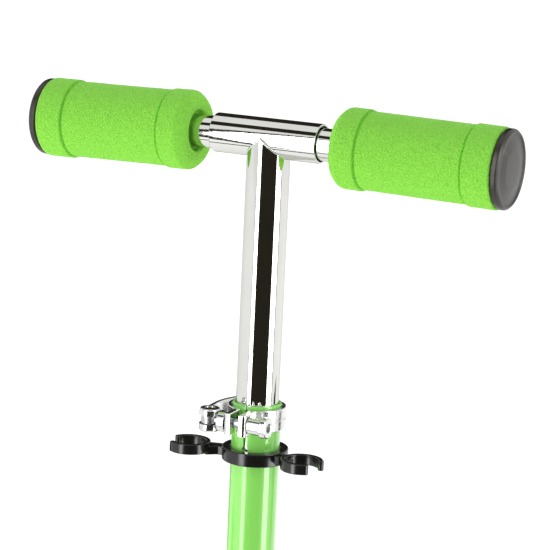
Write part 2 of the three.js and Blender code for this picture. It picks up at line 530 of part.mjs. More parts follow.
// The lock skewer's cam lever is on the right; closed, it stands up beside the bracket.
const LOCK_PIN_X = -BRACKET_OUT - 8;
const lockSkewer = join(
  rod(LOCK_R - 0.5, LOCK_PIN_X + 4, BRACKET_OUT + 8, "x", 16),
  move(cut(rod(5, -2.3, 2.3, "z", 16).rotateX(Math.PI / 2), rod(3.2, -4, 4, "z", 16).rotateX(Math.PI / 2)),
    LOCK_PIN_X, 0, 0),
);
add(scooter, "fold_lock_skewer", place(lockSkewer, LOCK), STEEL);
const lockNut = turned(
  [[LOCK_R, BRACKET_OUT + GAP], [8.5, BRACKET_OUT + GAP], [8.5, BRACKET_OUT + 3], [6.5, BRACKET_OUT + 4],
    [6.5, BRACKET_OUT + 9], [LOCK_R, BRACKET_OUT + 9], [LOCK_R, BRACKET_OUT + GAP]],
  "x", 12,
);
add(scooter, "fold_lock_nut", place(lockNut, LOCK), CHROME);
const lockPin = move(rod(2.9, -7, 7, "z", BOLT_SIDES).rotateX(Math.PI / 2), LOCK_PIN_X, 0, 0);
add(scooter, "fold_lock_lever_pin", place(lockPin, LOCK), CHROME);

function lockLever() {
  const shape = new THREE.Shape();
  shape.absarc(LOCK_PIN_X, 0, 7.2, 0.9, -Math.PI * 1.15, true);
  shape.lineTo(LOCK_PIN_X - 5.5, 26).lineTo(LOCK_PIN_X - 9, 44);
  shape.lineTo(LOCK_PIN_X - 6, 54).lineTo(LOCK_PIN_X - 1.5, 52).lineTo(LOCK_PIN_X - 3, 42).lineTo(LOCK_PIN_X - 0.5, 26);
  const body = extruded(shape, 13, END_VIEW, -6.5, 9);
  const slot = move(block([-9, 9], [-3.8, 3.8], [-9, 9]), LOCK_PIN_X, 0, 0);
  const hole = move(rod(3.2, -8, 8, "z", 16).rotateX(Math.PI / 2), LOCK_PIN_X, 0, 0);
  return cut(body, slot, hole);
}
add(scooter, "fold_lock_lever", place(lockLever(), LOCK), BLACK_PLASTIC);

// ---- Rear wheel and the sprung fender that is also the brake ----
const rear = new THREE.Group();
rear.position.set(0, REAR_AXLE_Y, WHEEL_R);
scooter.add(rear);
addWheel(rear, "rear");
addAxle(rear, "rear");

const deg = THREE.MathUtils.degToRad;
const FLAP = [PLATE_OUT + 0.6, PLATE_OUT + 2.5];
const SHEET_FROM = deg(14);
const SHEET_TO = deg(130);
function brakeFender() {
  const [py, pz] = FENDER_PIN;
  const [cy, cz] = [REAR_AXLE_Y, WHEEL_R];
  const sheet = sidePlate(sector(cy, cz, ...FENDER_R, SHEET_FROM, SHEET_TO), -FLAP[1], FLAP[1], 13);
  const tailY = cy + REAR_OVERHANG;
  const tail = sidePlate(outline([[cy + 54.5, 66.5], [cy + 54.2, 64], [tailY, 69.5], [tailY, 71.8], [cy + 54, 69]]),
    -FLAP[1] + 4, FLAP[1] - 4);
  const skirt = sector(cy, cz, 46, FENDER_R[1] - 1, deg(26), deg(129));
  const lug = new THREE.Shape();
  lug.absarc(py, pz, 5.4, deg(95), deg(290), false);
  lug.lineTo(cy - 30, cz + 35).lineTo(cy - 36.5, cz + 44.4);
  const flaps = [1, -1].map((side) => {
    const [from, to] = side > 0 ? FLAP : [-FLAP[1], -FLAP[0]];
    return join(sidePlate(skirt, from, to, 11), sidePlate(lug, from, to, 6));
  });
  const pinHole = move(rod(2.3, -30, 30, "x", BOLT_SIDES), 0, py, pz);
  return cut(join(sheet, tail, ...flaps), pinHole);
}
add(scooter, "brake_fender", brakeFender(), ALUMINIUM);

const fenderPin = turned(
  [[0, -23], [2.6, -22.6], [3.6, -21], [3.6, -19.5], [2, -19.5], [2, 19.5], [3.2, 19.5], [3.2, 20.6], [2.4, 21.3], [0, 21.5]],
  "x", 16,
);
add(scooter, "fender_pin", place(fenderPin, FENDER_PIN), STEEL);

// Torsion spring on the pin: one leg under the fender sheet, the other against the bracket side of the deck.
function fenderSpring() {
  const TURNS = 5;
  const STEPS = 8;
  const COIL_R = 3.5;
  const LENGTH = 12;
  const [py, pz] = FENDER_PIN;
  const points = [new THREE.Vector3(-LENGTH / 2, py - COIL_R, pz - 10)];
  for (let i = 0; i <= TURNS * STEPS - STEPS / 4; i++) {
    const turn = (i / STEPS) * 2 * Math.PI;
    const x = -LENGTH / 2 + (LENGTH * i) / (TURNS * STEPS);
    points.push(new THREE.Vector3(x, py - COIL_R * Math.cos(turn), pz + COIL_R * Math.sin(turn)));
  }
  points.push(new THREE.Vector3(LENGTH / 2, REAR_AXLE_Y - 34.1, WHEEL_R + 40.6));
  const wire = new THREE.Shape().absarc(0, 0, 0.7, 0, 2 * Math.PI);
  return new THREE.ExtrudeGeometry(wire, {
    steps: 46,
    curveSegments: 3,
    bevelEnabled: false,
    extrudePath: new THREE.CatmullRomCurve3(points, false, "centripetal"),
  });
}
add(scooter, "fender_spring", fenderSpring(), STEEL);

export default scooter;
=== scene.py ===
"""Folding kick scooter: the looks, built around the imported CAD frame.

Shapes are written in millimetres and turned into metres as they are placed. +Z is up and the scooter's front is -Y.
"""

from math import asin, atan2, ceil, cos, degrees, dist, pi, radians, sin, tan

import bmesh
import bpy
from mathutils import Matrix, Vector, geometry, noise


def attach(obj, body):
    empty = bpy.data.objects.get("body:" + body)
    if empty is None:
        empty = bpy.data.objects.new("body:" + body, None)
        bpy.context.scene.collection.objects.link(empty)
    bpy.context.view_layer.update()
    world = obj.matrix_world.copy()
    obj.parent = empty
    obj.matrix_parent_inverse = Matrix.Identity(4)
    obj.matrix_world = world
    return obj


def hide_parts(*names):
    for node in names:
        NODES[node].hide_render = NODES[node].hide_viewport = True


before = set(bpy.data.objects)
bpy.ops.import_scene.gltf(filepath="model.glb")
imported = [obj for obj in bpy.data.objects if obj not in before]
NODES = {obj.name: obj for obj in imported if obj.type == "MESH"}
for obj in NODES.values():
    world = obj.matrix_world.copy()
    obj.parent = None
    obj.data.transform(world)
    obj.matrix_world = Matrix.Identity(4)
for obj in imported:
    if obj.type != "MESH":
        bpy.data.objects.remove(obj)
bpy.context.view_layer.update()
SCENE = bpy.context.scene
TAU = 2 * pi

# ---- Sizes in millimetres, as in the CAD ----
FRONT_AXLE_Y = -247.5
REAR_AXLE_Y = 237.5
AXLE_Z = 50.0
RAKE = radians(6)
BAR_HEIGHT = 722.5
LIP = BAR_HEIGHT - 157.5
CLAMP_LOW, CLAMP_HIGH = LIP - 15, LIP - 1.7
CLAMP_MID = (CLAMP_LOW + CLAMP_HIGH) / 2
CLIP_LOW, CLIP_HIGH = BAR_HEIGHT - 193, BAR_HEIGHT - 185
COLUMN_BOTTOM = 146.0
STEM_FOOT = -340.0
HANDLE_PIVOT = 21.0
HANDLE_SAG = radians(1)
SKEWER_Y = -24.0
PIN_X = -19.0
PIVOT = (FRONT_AXLE_Y + 84, 78.0)
LOCK = (PIVOT[0] + 30 * cos(radians(-40)), PIVOT[1] + 30 * sin(radians(-40)))
FENDER_PIN = (REAR_AXLE_Y - 49.5, 84.0)
DECK_Y = (-112.0, 182.5)
DECK_TOP = 76.0
DECK_UNDER = 72.0
BRACKET_IN, BRACKET_OUT = 13.4, 16.4
PLATE_IN, PLATE_OUT = 12.8, 16.3
COLUMN_R, COLUMN_BORE = 14.5, 13.0
CLAMP_BORE = 14.8
STEM_R, STEM_WALL = 12.7, 1.2
SLEEVE_R, SLEEVE_BORE, SLEEVE_HALF = 11.5, 10.4, 34
GRIP = (46.0, 144.5)
FOAM_BORE, FOAM_R, COLLAR_R = 9.8, 22.6, 23.5
CAP_R = 22.9
SHARP = 34.0  # degrees between two faces, above which their edge is drawn hard

# ---- Bodies and frames ----
STEERING = "steering_assembly"
DECK = "deck_assembly"
MM = Matrix.Scale(0.001, 4)
STEER = Matrix.Translation((0, FRONT_AXLE_Y / 1000, AXLE_Z / 1000)) @ Matrix.Rotation(-RAKE, 4, "X") @ MM
BAR = STEER @ Matrix.Translation((0, 0, BAR_HEIGHT))
CLAMP = STEER @ Matrix.Translation((0, SKEWER_Y, CLAMP_MID))
ALONG_X = Matrix.Rotation(pi / 2, 4, "Y")
FRONT_WHEEL = Matrix.Translation((0, FRONT_AXLE_Y / 1000, AXLE_Z / 1000)) @ MM @ ALONG_X
REAR_WHEEL = Matrix.Translation((0, REAR_AXLE_Y / 1000, AXLE_Z / 1000)) @ MM @ ALONG_X
ALONG_Y = Matrix.Rotation(pi / 2, 4, "X")
SIDE = Matrix(((0, 0, 1, 0), (1, 0, 0, 0), (0, 1, 0, 0), (0, 0, 0, 1)))  # drawn in y and z, thick along x
END = Matrix(((1, 0, 0, 0), (0, 0, -1, 0), (0, 1, 0, 0), (0, 0, 0, 1)))  # drawn in x and z, thick along -y


def at(x=0.0, y=0.0, z=0.0):
    return Matrix.Translation((x, y, z))


def handle_frame(side):
    """The frame of a handle drawn along +X from the middle of the bar."""
    turn = Matrix.Rotation(pi, 4, "Z") if side < 0 else Matrix.Identity(4)
    sag = Matrix.Rotation(side * HANDLE_SAG, 4, "Y")
    return BAR @ at(side * HANDLE_PIVOT) @ sag @ at(-side * HANDLE_PIVOT) @ turn


def placed(name, data):
    """Adds an object to the scene."""
    obj = bpy.data.objects.new(name, data)
    SCENE.collection.objects.link(obj)
    return obj


def clad(obj, material):
    obj.data.materials.clear()
    obj.data.materials.append(material)


# ---- Camera ----
CAMERA_AT = Vector((0.5990, -1.3877, 1.0977))
CAMERA_AIM = Vector((0.0036, -0.1720, 0.6860))
BAR_CENTRE = Vector((0, -0.172, 0.7685))  # the cards stand round it
FOCAL_LENGTH = 157.35
FAR_CLIP = 120


def make_camera():
    data = bpy.data.cameras.new("camera")
    data.sensor_width = 36
    data.lens = FOCAL_LENGTH
    data.clip_end = FAR_CLIP
    camera = placed("camera", data)
    camera.location = CAMERA_AT
    camera.rotation_euler = (CAMERA_AIM - CAMERA_AT).to_track_quat("-Z", "Y").to_euler()
    SCENE.camera = camera


make_camera()


class Graph:
    """A material made of nodes round one Principled shader."""

    def __init__(self, name):
        self.material = bpy.data.materials.new(name)
        self.material.use_nodes = True
        self.tree = self.material.node_tree
        self.shader = self.tree.nodes["Principled BSDF"]
        self.place = self.tree.nodes.new("ShaderNodeTexCoord").outputs["Object"]

    def node(self, kind, inputs=(), **settings):
        made = self.tree.nodes.new("ShaderNode" + kind)
        for key, value in settings.items():
            setattr(made, key, value)
        for key, value in dict(inputs).items():
            self.put(made.inputs[key], value)
        return made

    def put(self, socket, value):
        if isinstance(value, bpy.types.NodeSocket):
            self.tree.links.new(value, socket)
        else:
            socket.default_value = value

    def set(self, **values):
        for key, value in values.items():
            self.put(self.shader.inputs[key.replace("_", " ")], value)

    def stretched(self, x, y, z):
        return self.node("Mapping", {"Vector": self.place, "Scale": (x, y, z)}).outputs["Vector"]

    def noise(self, scale, detail=3.0, roughness=0.55, place=None):
        inputs = {"Vector": place or self.place, "Scale": scale, "Detail": detail, "Roughness": roughness}
        return self.node("TexNoise", inputs).outputs["Fac"]

    def cells(self, scale):
        return self.node("TexVoronoi", {"Vector": self.place, "Scale": scale}).outputs["Distance"]

    def ramp(self, fac, *stops):
        made = self.node("ValToRGB", {"Fac": fac})
        ramp = made.color_ramp
        while len(ramp.elements) < len(stops):
            ramp.elements.new(1.0)
        for element, (position, colour) in zip(ramp.elements, stops):
            element.position = position
            element.color = (*colour, 1)
        return made.outputs["Color"]

    def range(self, value, low, high, start=0.0, end=1.0):
        inputs = {"Value": value, "From Min": start, "From Max": end, "To Min": low, "To Max": high}
        return self.node("MapRange", inputs).outputs["Result"]

    def add(self, a, b, weight=1.0):
        scaled = self.node("Math", {0: b, 1: weight}, operation="MULTIPLY").outputs[0]
        return self.node("Math", {0: a, 1: scaled}, operation="ADD").outputs[0]

    def mix(self, fac, a, b):
        made = self.node("Mix", data_type="RGBA")
        self.put(made.inputs["Factor"], fac)
        for socket, value in zip([s for s in made.inputs if s.type == "RGBA"], (a, b)):
            self.put(socket, value if isinstance(value, bpy.types.NodeSocket) else (*value, 1))
        return next(s for s in made.outputs if s.type == "RGBA")

    def bump(self, height, distance, strength=1.0):
        inputs = {"Height": height, "Distance": distance, "Strength": strength}
        self.set(Normal=self.node("Bump", inputs).outputs["Normal"])

    def edges(self, low=0.48, high=0.56):
        """1 on worn convex edges and 0 elsewhere."""
        pointiness = self.node("NewGeometry").outputs["Pointiness"]
        return self.range(pointiness, 0.0, 1.0, low, high)


def shade(colour, factor):
    return tuple(c * factor for c in colour)


def chrome():
    g = Graph("chrome_plate")
    base = (0.70, 0.705, 0.67)
    cloud = g.noise(55, 4)
    g.set(Base_Color=g.ramp(cloud, (0.3, shade(base, 0.965)), (0.7, shade(base, 1.02))))
    g.set(Metallic=1.0, Specular_Tint=(0.74, 0.74, 0.72, 1))
    wipe = g.noise(420, 5, 0.7, g.stretched(1, 1, 0.12))
    g.set(Roughness=g.range(g.add(wipe, cloud, 0.6), 0.02, 0.075, 0.5, 1.2))
    g.bump(g.add(g.noise(38, 2), wipe, 0.05), 0.00006)
    return g.material


def foam():
    g = Graph("lime_foam")
    lime = (0.285, 0.800, 0.070)
    pores = g.cells(850)
    grain = g.noise(900, 4, 0.6)
    # Painted shade: the pits at the pore centres, where the bump is lowest, are darkened to 0.8 of the lime.
    tone = g.mix(g.range(pores, 1, 0, 0.0, 0.5), lime, shade(lime, 0.80))
    tone = g.mix(g.range(grain, 0, 0.55, 0.5, 0.75), tone, (0.33, 0.86, 0.095))
    g.set(Base_Color=tone, Roughness=g.range(grain, 0.86, 1.0))
    g.set(Specular_IOR_Level=0.12, Sheen_Weight=0.08, Sheen_Roughness=0.6, Sheen_Tint=(0.6, 1.0, 0.4, 1))
    g.bump(g.add(grain, pores, 0.8), 0.0009, 0.95)
    return g.material


def green_paint():
    g = Graph("green_paint")
    green = (0.262, 0.800, 0.105)
    cloud = g.noise(30, 3)
    flake = g.cells(2600)
    tone = g.mix(g.range(cloud, 0, 1, 0.35, 0.7), shade(green, 0.97), shade(green, 1.03))
    tone = g.mix(g.range(flake, 0.35, 0, 0.0, 0.5), tone, (0.30, 0.86, 0.15))
    worn = g.edges(0.6, 0.7)
    chip = g.node("Math", {0: worn, 1: g.range(g.noise(600, 4), 0, 1, 0.56, 0.7)}, operation="MULTIPLY").outputs[0]
    g.set(Base_Color=g.mix(chip, tone, (0.55, 0.56, 0.55)), Roughness=g.range(g.noise(260, 3), 0.26, 0.36))
    g.set(Coat_Weight=0.9, Coat_Roughness=0.045, Coat_IOR=1.5, Specular_IOR_Level=0.45)
    g.bump(g.noise(620, 2, 0.4), 0.00009, 0.5)
    return g.material


def plastic(name, base, light, roughness, grain, depth, warm=(1, 1, 1)):
    """Moulded plastic or rubber: a fine spark-eroded grain, slightly paler where it is handled."""
    g = Graph(name)
    cloud = g.noise(60, 4)
    tone = g.mix(g.range(cloud, 0, 1, 0.35, 0.75), base, light)
    tone = g.mix(g.edges(0.53, 0.64), tone, tuple(min(1, c * 1.5 + 0.01) for c in light))
    g.set(Base_Color=tone, Roughness=g.range(g.noise(grain * 0.5, 4), roughness - 0.06, roughness + 0.08))
    g.set(Specular_Tint=(*warm, 1))
    g.bump(g.add(g.noise(grain, 3), g.cells(grain * 0.7), 0.6), depth, 0.6)
    return g.material


def metal(name, base, roughness, brushed=(1, 1, 1), scratch=900.0, dark=0.82):
    """Bare or plated metal, with brush lines across the directions that brushed keeps fine."""
    g = Graph(name)
    lines = g.noise(scratch, 6, 0.7, g.stretched(*brushed))
    cloud = g.noise(45, 4)
    tone = g.ramp(g.add(lines, cloud, 0.5), (0.45, shade(base, dark)), (0.75, base), (1.0, shade(base, 1.05)))
    worn = g.mix(g.edges(0.53, 0.62), tone, tuple(min(1, c * 1.15) for c in base))
    g.set(Base_Color=worn, Metallic=1.0)
    g.set(Roughness=g.range(g.add(lines, cloud, 0.4), roughness - 0.07, roughness + 0.12, 0.4, 1.1))
    g.bump(lines, 0.00004, 0.7)
    return g.material


def urethane():
    """Cast tyre: even colour, with a scuffed and slightly dusty tread."""
    g = Graph("tyre_urethane")
    green = (0.27, 0.66, 0.09)
    scuff = g.noise(330, 6, 0.7)
    tone = g.mix(g.range(g.noise(40, 4), 0, 1, 0.3, 0.75), green, shade(green, 1.12))
    dusty = g.mix(g.range(scuff, 0, 0.5, 0.5, 0.72), tone, (0.36, 0.46, 0.22))
    g.set(Base_Color=dusty, Roughness=g.range(scuff, 0.34, 0.6), Subsurface_Weight=0.12, Subsurface_Scale=0.003)
    g.bump(g.add(scuff, g.noise(1700, 3), 0.5), 0.00012, 0.5)
    return g.material


def grit():
    """Grip tape: black film full of coarse grains, with painted glints: scattered spots are painted pale grey and made
    glossy.
    """
    g = Graph("grip_tape_grit")
    grain = g.cells(1250)
    # Spots for painted glints: pale grey in the base colour, and a lower roughness.
    painted_glint_spots = g.range(g.noise(2600, 2), 0, 1, 0.62, 0.72)
    tone = g.ramp(grain, (0.0, (0.075, 0.075, 0.078)), (0.35, (0.026, 0.026, 0.027)), (0.8, (0.008, 0.008, 0.008)))
    dusty = g.mix(g.range(g.noise(22, 5, 0.65), 0, 0.35, 0.45, 0.8), tone, (0.10, 0.098, 0.09))
    # Painted glint: the spots' pale grey stands in for light caught by the grains; their lower roughness is real gloss.
    g.set(Base_Color=g.mix(painted_glint_spots, dusty, (0.33, 0.33, 0.34)), Roughness=g.range(painted_glint_spots, 0.95, 0.35))
    g.bump(g.add(grain, g.noise(1900, 3), -0.8), -0.0006, 0.9)
    return g.material


# Each look is a material and a slot name.
CHROME = chrome(), "chrome_tube"
FOAM = foam(), "foam"
PAINT = green_paint(), "green_paint"
BLACK = (plastic("black_gloss_plastic", (0.0065, 0.006, 0.0055), (0.010, 0.0095, 0.009), 0.2, 1500.0, 0.00002),
         "black_plastic")
CAP = (plastic("cap_rubber", (0.014, 0.0115, 0.0105), (0.021, 0.018, 0.0165), 0.36, 1300.0, 0.00005, (1, 0.975, 0.9)),
       "grey_cap")
NYLON = plastic("white_nylon", (0.70, 0.71, 0.70), (0.78, 0.79, 0.78), 0.36, 1100.0, 0.00006), "wheel_core"
ZINC = metal("zinc_plate", (0.50, 0.51, 0.53), 0.30), "zinc_steel"
CAST = metal("cast_chrome", (0.68, 0.685, 0.675), 0.15, (1, 1, 1), 500.0, 0.9), "chrome_tube"
BRUSHED = metal("brushed_aluminium", (0.54, 0.55, 0.57), 0.33, (1, 0.05, 1), 1500.0), "aluminium"
TURNED = metal("turned_aluminium", (0.56, 0.57, 0.59), 0.28, (0.2, 1, 1), 1300.0), "aluminium"
BEARING = metal("bearing_steel", (0.50, 0.505, 0.52), 0.22, (1, 0.4, 0.4), 1200.0), "bearing_steel"
SPRING = metal("spring_wire", (0.36, 0.35, 0.34), 0.32, (1, 1, 1), 2000.0, 0.6), "spring_steel"
TYRE = urethane(), "tyre"
GRIT = grit(), "grip_tape"


# ---- Mesh helpers ----
def rounded(points, closed=True, steps=5):
    """Corner points (x, y) or (x, y, radius) as a path whose corners are arcs of that radius."""
    path = []
    count = len(points)
    for i, point in enumerate(points):
        corner = Vector(point[:2])
        radius = point[2] if len(point) > 2 else 0
        if not radius or (not closed and i in (0, count - 1)):
            path.append((corner.x, corner.y))
            continue
        before, after = Vector(points[i - 1][:2]), Vector(points[(i + 1) % count][:2])
        back, ahead = (before - corner).normalized(), (after - corner).normalized()
        half = back.angle(ahead) / 2
        if pi / 2 - half < 1e-3 or half < 1e-3:
            path.append((corner.x, corner.y))
            continue
        room = 0.49 * min((before - corner).length, (after - corner).length)
        reach = min(radius / tan(half), room)
        radius = reach * tan(half)
        centre = corner + (back + ahead).normalized() * (radius / sin(half))
        start, end = corner + back * reach - centre, corner + ahead * reach - centre
        first = atan2(start.y, start.x)
        turn = (atan2(end.y, end.x) - first + pi) % TAU - pi
        for k in range(steps + 1):
            angle = first + turn * k / steps
            path.append(polar(centre, radius, angle))
    return path


def polar(centre, r, angle):
    return (centre[0] + r * cos(angle), centre[1] + r * sin(angle))


def arc(cx, cy, r, start, end, steps=24):
    """Points of an arc, with its angles in degrees."""
    return [polar((cx, cy), r, radians(start + (end - start) * k / steps)) for k in range(steps + 1)]


def circle(cx, cy, r, steps=48):
    return arc(cx, cy, r, 0, 360 - 360 / steps, steps - 1)


def solid(name, verts, faces, matrix, sharp=SHARP):
    """A mesh object from points in millimetres, with its faces turned outwards and its hard edges marked."""
    mesh = bpy.data.meshes.new(name)
    mesh.from_pydata([matrix @ Vector(v) for v in verts], [], faces)
    made = bmesh.new()
    made.from_mesh(mesh)
    bmesh.ops.remove_doubles(made, verts=made.verts, dist=2e-7)
    bmesh.ops.dissolve_degenerate(made, edges=made.edges, dist=1e-8)
    bmesh.ops.recalc_face_normals(made, faces=made.faces)
    made.to_mesh(mesh)
    made.free()
    smooth(mesh, sharp)
    return placed(name, mesh)


def smooth(mesh, sharp):
    mesh.shade_smooth()
    mesh.set_sharp_from_angle(angle=radians(sharp))


def lathe(name, profile, matrix, sides=96, sharp=SHARP):
    """A profile of (radius, height) points turned about Z. It closes on itself, or starts and ends on the axis."""
    verts, faces, rows = [], [], []
    for r, h in profile:
        if abs(r) < 1e-6:
            rows.append([len(verts)] * sides)
            verts.append((0, 0, h))
            continue
        rows.append([len(verts) + i for i in range(sides)])
        verts += [(r * cos(TAU * i / sides), r * sin(TAU * i / sides), h) for i in range(sides)]
    on_axis = abs(profile[0][0]) < 1e-6
    pairs = list(zip(rows, rows[1:])) + ([] if on_axis else [(rows[-1], rows[0])])
    for a, b in pairs:
        for i in range(sides):
            j = (i + 1) % sides
            face = list(dict.fromkeys((a[i], a[j], b[j], b[i])))
            if len(face) > 2:
                faces.append(face)
    return solid(name, verts, faces, matrix, sharp)


def area(loop):
    return sum(a[0] * b[1] - b[0] * a[1] for a, b in zip(loop, loop[1:] + loop[:1])) / 2


def inwards(loop):
    """For each point of a loop, the step into the material that insets both its sides by 1."""
    steps = []
    for i, point in enumerate(loop):
        a, b, c = Vector(loop[i - 1]), Vector(point), Vector(loop[(i + 1) % len(loop)])
        p, q = (b - a).normalized(), (c - b).normalized()
        n, m = Vector((-p.y, p.x)), Vector((-q.y, q.x))
        steps.append((n + m) / max(0.5, 1 + n.dot(m)))
    return steps


def skin(rows):
    """Faces that join each row of points to the next."""
    return [(a[i - 1], a[i], b[i], b[i - 1]) for a, b in zip(rows, rows[1:]) for i in [*range(1, len(a)), 0]]


def prism(name, loops, low, high, matrix, bevel=0.4, steps=3):
    """A plate between two heights. loops is an outline and its holes. Its edges are rounded by bevel."""
    verts, faces, caps = [], [], ([], [])
    levels = []
    for k in range(steps + 1 if bevel else 1):
        angle = pi / 2 * k / steps if bevel else pi / 2
        levels.append((low + bevel * (1 - cos(angle)), bevel * (1 - sin(angle))))
    levels += [(low + high - z, inset) for z, inset in reversed(levels)]
    for k, loop in enumerate(loops):
        loop = [p for i, p in enumerate(loop) if (Vector(p) - Vector(loop[i - 1])).length > 1e-4]
        if (area(loop) > 0) != (k == 0):
            loop.reverse()
        inward = inwards(loop)
        rows = []
        for z, inset in levels:
            rows.append([len(verts) + i for i in range(len(loop))])
            verts += [(p[0] + s.x * inset, p[1] + s.y * inset, z) for p, s in zip(loop, inward)]
        faces += skin(rows)
        caps[0].append(rows[0])
        caps[1].append(rows[-1])
    for cap in caps:
        flat = [i for row in cap for i in row]
        found = geometry.tessellate_polygon([[Vector(verts[i]) for i in row] for row in cap])
        faces += [[flat[i] for i in triangle] for triangle in found]
    return solid(name, verts, faces, matrix)


def bake(obj):
    """Makes the object's modifiers part of its mesh."""
    graph = bpy.context.evaluated_depsgraph_get()
    mesh = bpy.data.meshes.new_from_object(obj.evaluated_get(graph))
    made = bmesh.new()
    made.from_mesh(mesh)
    bmesh.ops.dissolve_limit(made, angle_limit=radians(0.2), verts=made.verts, edges=made.edges)
    made.to_mesh(mesh)
    made.free()
    obj.modifiers.clear()
    obj.data = mesh
    smooth(mesh, SHARP)


def combine(obj, others, operation):
    for other in others:
        step = obj.modifiers.new("combine", "BOOLEAN")
        step.operation = operation
        step.solver = "MANIFOLD"
        step.object = other
    bake(obj)
    for other in others:
        bpy.data.objects.remove(other)
    return obj


def cut(obj, *tools):
    return combine(obj, tools, "DIFFERENCE")


def join(obj, *others):
    return combine(obj, others, "UNION")


def soften(obj, width, segments=2, angle=38.0):
    """Rounds the hard edges of a carved piece."""
    bevel = obj.modifiers.new("soften", "BEVEL")
    bevel.width = width / 1000
    bevel.segments = segments
    bevel.limit_method = "ANGLE"
    bevel.angle_limit = radians(angle)
    return obj


def finish(obj, look, body, *nodes):
    """Gives a piece its material and the body it moves with, and hides the CAD nodes it stands for."""
    material, slot = look
    clad(obj, material)
    flat = obj.modifiers.new("flat_faces", "WEIGHTED_NORMAL")
    flat.keep_sharp = True
    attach(obj, body)
    if nodes:
        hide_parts(*nodes)


def dress(node, look, width=0.25):
    """A CAD node that stays: its own mesh, with softened edges and a new material."""
    obj = NODES[node]
    weld = obj.modifiers.new("weld", "WELD")
    weld.merge_threshold = 1e-6
    merge = obj.modifiers.new("merge_flats", "DECIMATE")
    merge.decimate_type = "DISSOLVE"
    merge.angle_limit = radians(1)
    soften(obj, width, 2, 40)
    smooth(obj.data, SHARP)
    clad(obj, look[0])


def rectangle(x, y0, y1, radius=0, steps=5):
    """Outline from -x to x and from y0 to y1."""
    return rounded([(-x, y0, radius), (x, y0, radius), (x, y1, radius), (-x, y1, radius)], True, steps)


def turned(name, outline, matrix, sides, steps=4, sharp=SHARP):
    """A lathe piece whose outline starts and ends on the axis."""
    return lathe(name, rounded(outline, False, steps), matrix, sides, sharp)


def rod(name, r, low, high, matrix, sides=48, chamfer=0.0):
    return turned(name, [(0, low), (r, low, chamfer), (r, high, chamfer), (0, high)], matrix, sides, 3)


def ring(name, outer, inner, low, high, matrix, sides=96, chamfer=0.3):
    corners = [(inner, low), (outer, low), (outer, high), (inner, high)]
    return lathe(name, rounded([(r, h, chamfer) for r, h in corners], True, 3), matrix, sides)


def hexagon(r):
    return [polar((0, 0), r, TAU * i / 6) for i in range(6)]


def socket(r, low, high, matrix):
    """A tool that cuts a hexagon socket."""
    return prism("socket", [hexagon(r)], low, high, matrix, 0)


def hex_nut(name, r, bore, low, high, matrix):
    """A hexagon nut whose corners are turned off at both ends."""
    nut = prism(name, [hexagon(r), circle(0, 0, bore, 32)], low, high, matrix, 0.15, 1)
    flats = r * cos(pi / 6)
    drop = (r - flats) * 0.62
    bound = [(0, low - 1), (flats, low - 0.01), (r + 0.1, low + drop)]
    bound += [(r + 0.1, high - drop), (flats, high + 0.01), (0, high + 1)]
    return combine(nut, [lathe("bound", bound, matrix, 64)], "INTERSECT")


def tube(name, points, radius, matrix):
    """A round wire through points, as a mesh with closed ends."""
    curve = bpy.data.curves.new(name, "CURVE")
    curve.dimensions = "3D"
    curve.bevel_depth = radius
    curve.bevel_resolution = 3
    curve.use_fill_caps = True
    spline = curve.splines.new("NURBS")
    spline.points.add(len(points) - 1)
    spline.order_u = 4
    spline.resolution_u = 6
    spline.use_endpoint_u = True
    for target, point in zip(spline.points, points):
        target.co = (*point, 1)
    holder = placed(name + "_curve", curve)
    bpy.context.view_layer.update()
    mesh = bpy.data.meshes.new_from_object(holder.evaluated_get(bpy.context.evaluated_depsgraph_get()))
    verts = [tuple(v.co) for v in mesh.vertices]
    faces = [tuple(p.vertices) for p in mesh.polygons]
    bpy.data.objects.remove(holder)
    return solid(name, verts, faces, matrix, 50)


# ---- Handles ----
def resampled(path, step):
    """The same path with no segment longer than step."""
    out = []
    for a, b in zip(path, path[1:] + path[:1]):
        pieces = max(1, ceil(dist(a, b) / step))
        out += [(a[0] + (b[0] - a[0]) * k / pieces, a[1] + (b[1] - a[1]) * k / pieces) for k in range(pieces)]
    return out


def foam_grip(name, side, matrix):
    """Foam sleeve: a soft shoulder at its inner end, a raised collar at each end and a pebbled skin."""
    a, b = GRIP
    outline = [
        (FOAM_BORE, a + 6), (12.2, a + 4.4, 0.8), (12.2, a, 1.4), (19.6, a, 3.8), (COLLAR_R, a + 4.4, 4.2),
        (COLLAR_R, a + 16.4, 0.4), (21.5, a + 16.7, 0.2), (21.5, a + 17.2, 0.2), (FOAM_R, a + 18.0, 0.5),
        (FOAM_R, b - 18.0, 0.5), (21.5, b - 17.2, 0.2), (21.5, b - 16.7, 0.2), (COLLAR_R, b - 16.4, 0.4),
        (COLLAR_R, b, 1.2), (FOAM_BORE, b),
    ]
    fine = resampled(rounded(outline, True, 7), 0.95)
    grip = lathe(f"foam_grip_{name}", fine, matrix @ ALONG_X, 176, 60)
    mesh = grip.data
    seed = Vector((3.1 * side, 0.7, 1.9))
    axis = (matrix @ Vector((1, 0, 0)) - matrix @ Vector((0, 0, 0))).normalized()
    origin = matrix @ Vector((0, 0, 0))
    normals = [vertex.normal.copy() for vertex in mesh.vertices]
    for vertex, normal in zip(mesh.vertices, normals):
        out = vertex.co - origin
        out -= axis * out.dot(axis)
        if out.length < 0.0135:
            continue
        pebble = noise.noise(vertex.co * 620 + seed)
        swell = noise.noise(vertex.co * 55 + seed)
        vertex.co += normal * (0.00015 * pebble + 0.00014 * swell)
    finish(grip, FOAM, f"{name}_handle", f"{name}_foam_grip")


